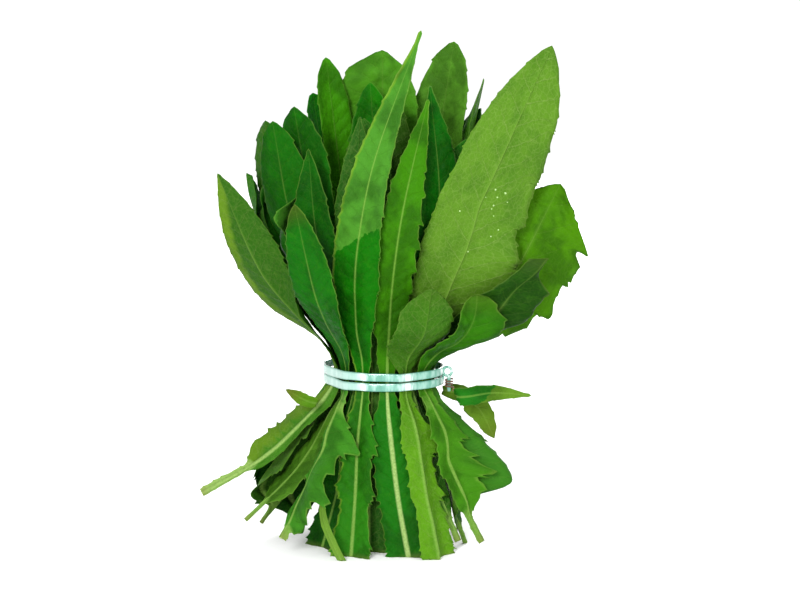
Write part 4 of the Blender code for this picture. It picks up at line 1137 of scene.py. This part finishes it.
def strap_material():
    """Clear glossy plastic over green leaves: teal, darker towards each band's upper and lower edge,
    whitened by painted sheen on the left and by painted highlights at a few places round it.
    """
    n = Nodes("clear_strap")
    flat = n.attribute("flat", "Vector")
    along, up, _ = n.parts(flat)
    streaks = n.noise(flat, 0.11, 3.0, 0.6)
    spots = n.noise(n.moved(flat, (40.0, 9.0, 0.0)), 0.35, 2.0)
    body = n.mix(n.ramp(streaks, 0.4, 0.66), linear((84, 144, 126)), linear((140, 178, 166)))
    body = n.mix(n.ramp(spots, 0.55, 0.72, 0.0, 0.6), body, linear((66, 128, 108)))
    # Painted sheen: whiter towards the bunch's left side.
    painted_sheen = n.ramp(n.distance(along, PAINTED_SHEEN_AT), 50.0, 20.0, 0.0, 0.6)
    body = n.mix(painted_sheen, body, linear((168, 190, 184)))
    # Painted highlights: white patches round a few azimuths.
    for middle, wide in PAINTED_HIGHLIGHTS_AT:
        painted_highlight = n.ramp(n.distance(along, middle), 1.5 * wide, 0.0)
        painted_highlight = n.times(painted_highlight, n.ramp(spots, 0.35, 0.6, 0.3, 1.0))
        body = n.mix(painted_highlight, body, linear((214, 228, 224)))
    # Darker teal towards each band's upper and lower edge.
    edge = n.ramp(n.math("ABSOLUTE", up), 0.55, 1.0, 0.0, 0.55)
    body = n.mix(edge, body, linear((60, 120, 98)))
    return n.finish(body, n.ramp(streaks, 0.3, 0.7, 0.06, 0.16), n.bump(spots, 0.25, 0.4 * MM),
                    Specular_IOR_Level=0.5, Coat_Weight=0.35, Coat_Roughness=0.04)


def wire_material():
    """The wire's dull brown coating, worn to tan at its end."""
    n = Nodes("wire")
    along, _, _ = n.parts(n.attribute("flat", "Vector"))
    grain = n.noise(n.in_object(), 1400.0, 2.0)
    body = n.mix(n.ramp(grain, 0.35, 0.7), linear((72, 50, 34)), linear((104, 74, 50)))
    body = n.mix(n.ramp(along, 0.86, 0.97), body, linear((160, 130, 88)))
    return n.finish(body, n.ramp(grain, 0.3, 0.7, 0.4, 0.65), n.bump(grain, 0.5, 0.1 * MM))


def tube_faces(rows, sides, first, closed):
    """Four-cornered faces of a tube whose rows of points follow each other."""
    faces = []
    for r in range(rows if closed else rows - 1):
        near, far = first + r * sides, first + (r + 1) % rows * sides
        for s in range(sides):
            after = (s + 1) % sides
            faces.append((near + s, near + after, far + after, far + s))
    if not closed:
        faces.append(tuple(first + s for s in reversed(range(sides))))
        faces.append(tuple(first + (rows - 1) * sides + s for s in range(sides)))
    return faces


def tube(points, radius, sides, closed=False):
    """Points and faces of a round tube along a route, with each point's share of the way."""
    route = np.array(points, float)
    if closed:
        tangent = np.roll(route, -1, 0) - np.roll(route, 1, 0)
    else:
        tangent = np.gradient(route, axis=0)
    tangent /= np.linalg.norm(tangent, axis=1)[:, None]
    aside = np.cross(tangent[0], [0.3, 0.2, 1.0])
    made, flat = [], []
    for n, (place, direction) in enumerate(zip(route, tangent)):
        aside = aside - direction * (aside @ direction)
        aside /= np.linalg.norm(aside)
        other = np.cross(direction, aside)
        for s in range(sides):
            angle = math.tau * s / sides
            made.append(place + radius * (aside * math.cos(angle) + other * math.sin(angle)))
            flat.append((n / (len(route) - 1), 0.0, 0.0))
    return made, tube_faces(len(route), sides, 0, closed), flat


def hull_radii(held):
    """How far from the axis the strap's inner face is at each step round, where it is drawn tight
    over the outermost stalks."""
    u, v = np.meshgrid(np.linspace(0, 1, 600), np.linspace(-1, 1, 17), indexing="ij")
    relief = np.maximum(BLADE_THICKNESS / 2, stalk_relief(v)) + STRAP_CLEARANCE
    turns = np.radians(np.arange(BAND_STEPS) * 360.0 / BAND_STEPS)
    out = np.stack([np.cos(turns), np.sin(turns)])
    support = np.zeros(BAND_STEPS)
    for grid in held:
        points = surface(grid, u, v)
        inside = np.abs(points[..., 2] - TIE_Z) < TIE_HALF_HEIGHT + 0.5
        if inside.any():
            flat = points[inside][:, :2]
            level = np.linalg.norm(flat, axis=1)
            flat *= (1 + relief[inside] / level)[:, None]
            support = np.maximum(support, (flat @ out).max(0))
    meeting = np.cos(turns[:, None] - turns[None, :])
    reach = support[None, :] / np.maximum(meeting, LEAST_MEETING)
    return np.where(meeting > LEAST_MEETING, reach, np.inf).min(1)


def drawn_out(radii, inner_radius):
    """Brings the strap out to the neck, where its twisted ends pull it away from the stalks."""
    turns = np.arange(BAND_STEPS) * 360.0 / BAND_STEPS
    apart = np.abs((turns - TIE_AZIMUTH + 180) % 360 - 180)
    return radii + (inner_radius - radii) * smooth_step(1 - apart / PULL_REACH)


def band(radii, sign, first):
    """One turn of the strap: a soft-cornered band with a slight wobble."""
    made, flat = [], []
    for n in range(BAND_STEPS):
        degrees = 360.0 * n / BAND_STEPS
        out = azimuth_vector(degrees)
        middle = radii[n] + STRAP_THICKNESS / 2
        closed = smooth_step(1 - abs(degrees - BAND_CLOSED[0]) / BAND_CLOSED[1])
        gap = BAND_GAPS[1] + (BAND_GAPS[0] - BAND_GAPS[1]) * closed
        wobble = BAND_WOBBLE * sum(
            size * math.sin(math.radians(waves * degrees) + start * sign)
            for waves, start, size in WOBBLES
        )
        height = STRAP_HEIGHT + STRAP_GAP - gap + 0.5 * BAND_LIFT
        centre = TIE_Z + BAND_LIFT + sign * (height + gap) / 2 + wobble
        for s in range(BAND_SIDES):
            angle = math.tau * s / BAND_SIDES
            c, q = math.cos(angle), math.sin(angle)
            across = math.copysign(abs(c) ** BAND_ROUNDING[0], c)
            up = math.copysign(abs(q) ** BAND_ROUNDING[1], q)
            place = out * (middle + (STRAP_THICKNESS / 2) * across)
            place[2] = centre + up * height / 2
            made.append(place)
            flat.append((degrees, up, across))
    return made, tube_faces(BAND_STEPS, BAND_SIDES, first, True), flat


def stands_for(obj, node):
    """Has a piece ride on the bunch's body and take the place of one of its solids."""
    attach(obj, "root")
    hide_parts(node)


def plain_piece(name, points, faces, flat, material, node):
    """A piece with one material, which reads where it is along and up the piece."""
    marks = {"flat": np.array(flat)}
    obj = mesh_object(name, points, faces, np.zeros(len(faces)), marks, [material])
    stands_for(obj, node)


def build_strap(inner_radius, radii):
    """The two turns, the fold over them, and the ear with its neck, in one piece."""
    points, faces, flat = [], [], []
    for sign in (1, -1):
        made, these, marks = band(radii, sign, len(points))
        points, faces, flat = points + made, faces + these, flat + marks
    outer = inner_radius + STRAP_THICKNESS
    neck_radius = outer + CRIMP_RELIEF + NECK_RADIUS + 2 * WIRE_CLEARANCE + 2 * WIRE_RADIUS
    out = azimuth_vector(TIE_AZIMUTH)
    ear_height = TIE_Z + STRAP_HEIGHT / 2 + STRAP_GAP
    ear = []
    for n in range(FINE_EAR_STEPS):
        angle = math.tau * n / FINE_EAR_STEPS
        place = out * (neck_radius - EAR_TUBE_RADIUS + EAR_RADIUS * math.cos(angle))
        place[2] = ear_height + EAR_RADIUS * math.sin(angle)
        ear.append(place)
    neck_top = ear_height - EAR_RADIUS + NECK_OVERLAP
    neck = [out * neck_radius + [0, 0, neck_top - NECK_LENGTH * t]
            for t in np.linspace(0, 1, FINE_NECK_ROWS)]
    fold = []
    for t in np.linspace(-1, 1, FOLD_ROWS):
        place = azimuth_vector(TIE_AZIMUTH + FOLD_LEAN * t)
        place *= outer + CRIMP_RELIEF * (1 - t * t) - FOLD_SUNK
        place[2] = TIE_Z + BAND_LIFT + t * STRAP_HEIGHT * FOLD_REACH
        fold.append(place)
    for route, radius, closed in (
        (ear, EAR_TUBE_RADIUS * FINE_EAR_SHARE, True),
        (neck, NECK_RADIUS, False),
        (fold, FOLD_RADIUS, False),
    ):
        made, these, marks = tube(route, radius, TUBE_SIDES, closed)
        faces += [tuple(i + len(points) for i in face) for face in these]
        points += made
        flat += [(TIE_AZIMUTH + 360 + MARK_PER_TUBE * share, 0.0, 0.0) for share, _, _ in marks]
    plain_piece("strap_band", points, faces, flat, strap_material(), "tie_strap")
    return neck_radius, neck_top


def build_wire(neck_radius, neck_top):
    """The wire: two strands twisted together, wound round the neck, with a tail that hangs."""
    coil_radius = NECK_RADIUS + WIRE_CLEARANCE + WIRE_RADIUS
    axis = azimuth_vector(TIE_AZIMUTH) * neck_radius
    axis[2] = neck_top - WIRE_DROP
    route = []
    for n in range(WIRE_TURNS * FINE_WIRE_STEPS + 1):
        turn = math.tau * n / FINE_WIRE_STEPS + math.radians(TIE_AZIMUTH)
        down = WIRE_PITCH * n / FINE_WIRE_STEPS
        route.append(axis + [coil_radius * math.cos(turn), coil_radius * math.sin(turn), -down])
    end, step = route[-1], (route[-1] - route[-2]) * FINE_WIRE_STEPS / WIRE_STEPS
    tail = [end] + [end + step * (n + 1) + [a, a, -drop] for n, (a, drop) in enumerate(WIRE_TAIL)]
    tail, _ = spine_through(tail, FINE_TAIL_ROWS)
    route = np.array(route + list(tail[1:]))
    tangent = np.gradient(route, axis=0)
    tangent /= np.linalg.norm(tangent, axis=1)[:, None]
    aside = np.cross(tangent, [0, 0, 1.0])
    aside /= np.linalg.norm(aside, axis=1)[:, None]
    other = np.cross(tangent, aside)
    along = np.cumsum(np.r_[0, np.linalg.norm(np.diff(route, axis=0), axis=1)])
    points, faces, flat = [], [], []
    for strand in (0.0, math.pi):
        twist = (along / STRAND_TURN * math.tau + strand)[:, None]
        off = STRAND_APART * (aside * np.cos(twist) + other * np.sin(twist))
        made, these, marks = tube(route + off, STRAND_RADIUS, FINE_WIRE_SIDES)
        faces += [tuple(i + len(points) for i in face) for face in these]
        points, flat = points + made, flat + marks
    plain_piece("wire_twist", points, faces, flat, wire_material(), "tie_wire")


def build_leaves():
    """Lays the leaves as the part's source does, and makes the finer leaf of each."""
    leaves = list(INNER) + back_leaves(0) + list(SECOND) + back_leaves(1) + list(OUTER)
    leaves += list(DROOPING)
    shapes = [face_grid(leaf) for leaf in leaves]
    grids = lay_leaves([shape[0] for shape in shapes])
    held = [grid for leaf, grid in zip(leaves, grids) if leaf.waist]
    squeeze_waist(held)
    cut_end, water = cut_material(), water_material()
    rng = np.random.default_rng(FINE_SEED)
    for leaf, grid, (_, width, length, waist) in zip(leaves, grids, shapes):
        change = rng.uniform(-1, 1, 3) * PLAIN_SPREAD
        plain = Look(-1, tuple(PLAIN_BLADE + change), tuple(PLAIN_LOW + change[::-1] * (1, 1, 0.3)),
                     inner=tuple(PLAIN_INNER + change))
        look = LOOKS.get(leaf.name, plain)
        points, faces, kinds, marks = fine_leaf(leaf, grid, width, length, waist, look)
        name = leaf.name.replace("leaf_", "blade_")
        made_of = [leaf_material(leaf, look), cut_end, water]
        obj = mesh_object(name, points, faces, kinds, marks, made_of)
        if leaf.name == "leaf_broad_right":
            add_drops(obj, marks["flat"], marks["under"] == (look.out < 0), points)
        cut_level(obj)
        stands_for(obj, leaf.name)
    inner_radius = widest_at_tie(held) + STRAP_CLEARANCE
    return inner_radius, drawn_out(hull_radii(held), inner_radius)


# The stage and the view, in metres, watts and degrees. lamps: name, place, width and power.
FLOOR_HALF_SIZE = 6.0
FLOOR_PALENESS = 0.93
ROOM_STRENGTH = 1.12
LAMPS = (
    ("key", (-0.5, -1.7, 0.8), 0.5, 34.0),
    ("fill", (1.1, -1.4, 0.5), 0.8, 8.0),
    ("back", (0.5, 1.7, 1.0), 0.8, 28.0),
)
LAMP_AIM = Vector((0, 0, 0.14))
VIEW_TARGET = Vector((0.0103, 0.0, 0.1417))
VIEW_DISTANCE = 1.3
VIEW_ELEVATION = 9.0
LENS = 100.0


def build_floor():
    """A pale, plain floor."""
    floor = bpy.data.objects.new("floor", bpy.data.meshes.new("floor"))
    shape = bmesh.new()
    bmesh.ops.create_grid(shape, x_segments=1, y_segments=1, size=FLOOR_HALF_SIZE)
    shape.to_mesh(floor.data)
    shape.free()
    n = Nodes("floor")
    floor.data.materials.append(
        n.finish((FLOOR_PALENESS,) * 3 + (1.0,), 0.9, Specular_IOR_Level=0.1)
    )
    bpy.context.scene.collection.objects.link(floor)


def build_light():
    """An even white room and the soft lamps."""
    world = bpy.data.worlds.new("studio")
    world.use_nodes = True
    background = world.node_tree.nodes["Background"]
    background.inputs["Color"].default_value = (1.0, 1.0, 1.0, 1.0)
    background.inputs["Strength"].default_value = ROOM_STRENGTH
    bpy.context.scene.world = world
    for name, place, size, power in LAMPS:
        data = bpy.data.lights.new(name, "AREA")
        data.energy = power
        data.size = size
        lamp = bpy.data.objects.new(name, data)
        lamp.location = place
        lamp.rotation_euler = (LAMP_AIM - Vector(place)).to_track_quat("-Z", "Y").to_euler()
        bpy.context.scene.collection.objects.link(lamp)


def build_camera():
    """The photograph's view: from the front and a little above."""
    camera = bpy.data.objects.new("camera", bpy.data.cameras.new("camera"))
    bpy.context.scene.collection.objects.link(camera)
    elevation = math.radians(VIEW_ELEVATION)
    back = Vector((0.0, -math.cos(elevation), math.sin(elevation)))
    camera.location = VIEW_TARGET + back * VIEW_DISTANCE
    camera.rotation_euler = (-back).to_track_quat("-Z", "Y").to_euler()
    camera.data.lens = LENS
    bpy.context.scene.camera = camera


def main():
    """Builds the camera, the stage, the leaves, the strap and the wire."""
    build_camera()
    build_floor()
    build_light()
    inner_radius, radii = build_leaves()
    neck_radius, neck_top = build_strap(inner_radius, radii)
    build_wire(neck_radius, neck_top)
    bpy.context.scene.view_settings.view_transform = "Standard"


main()
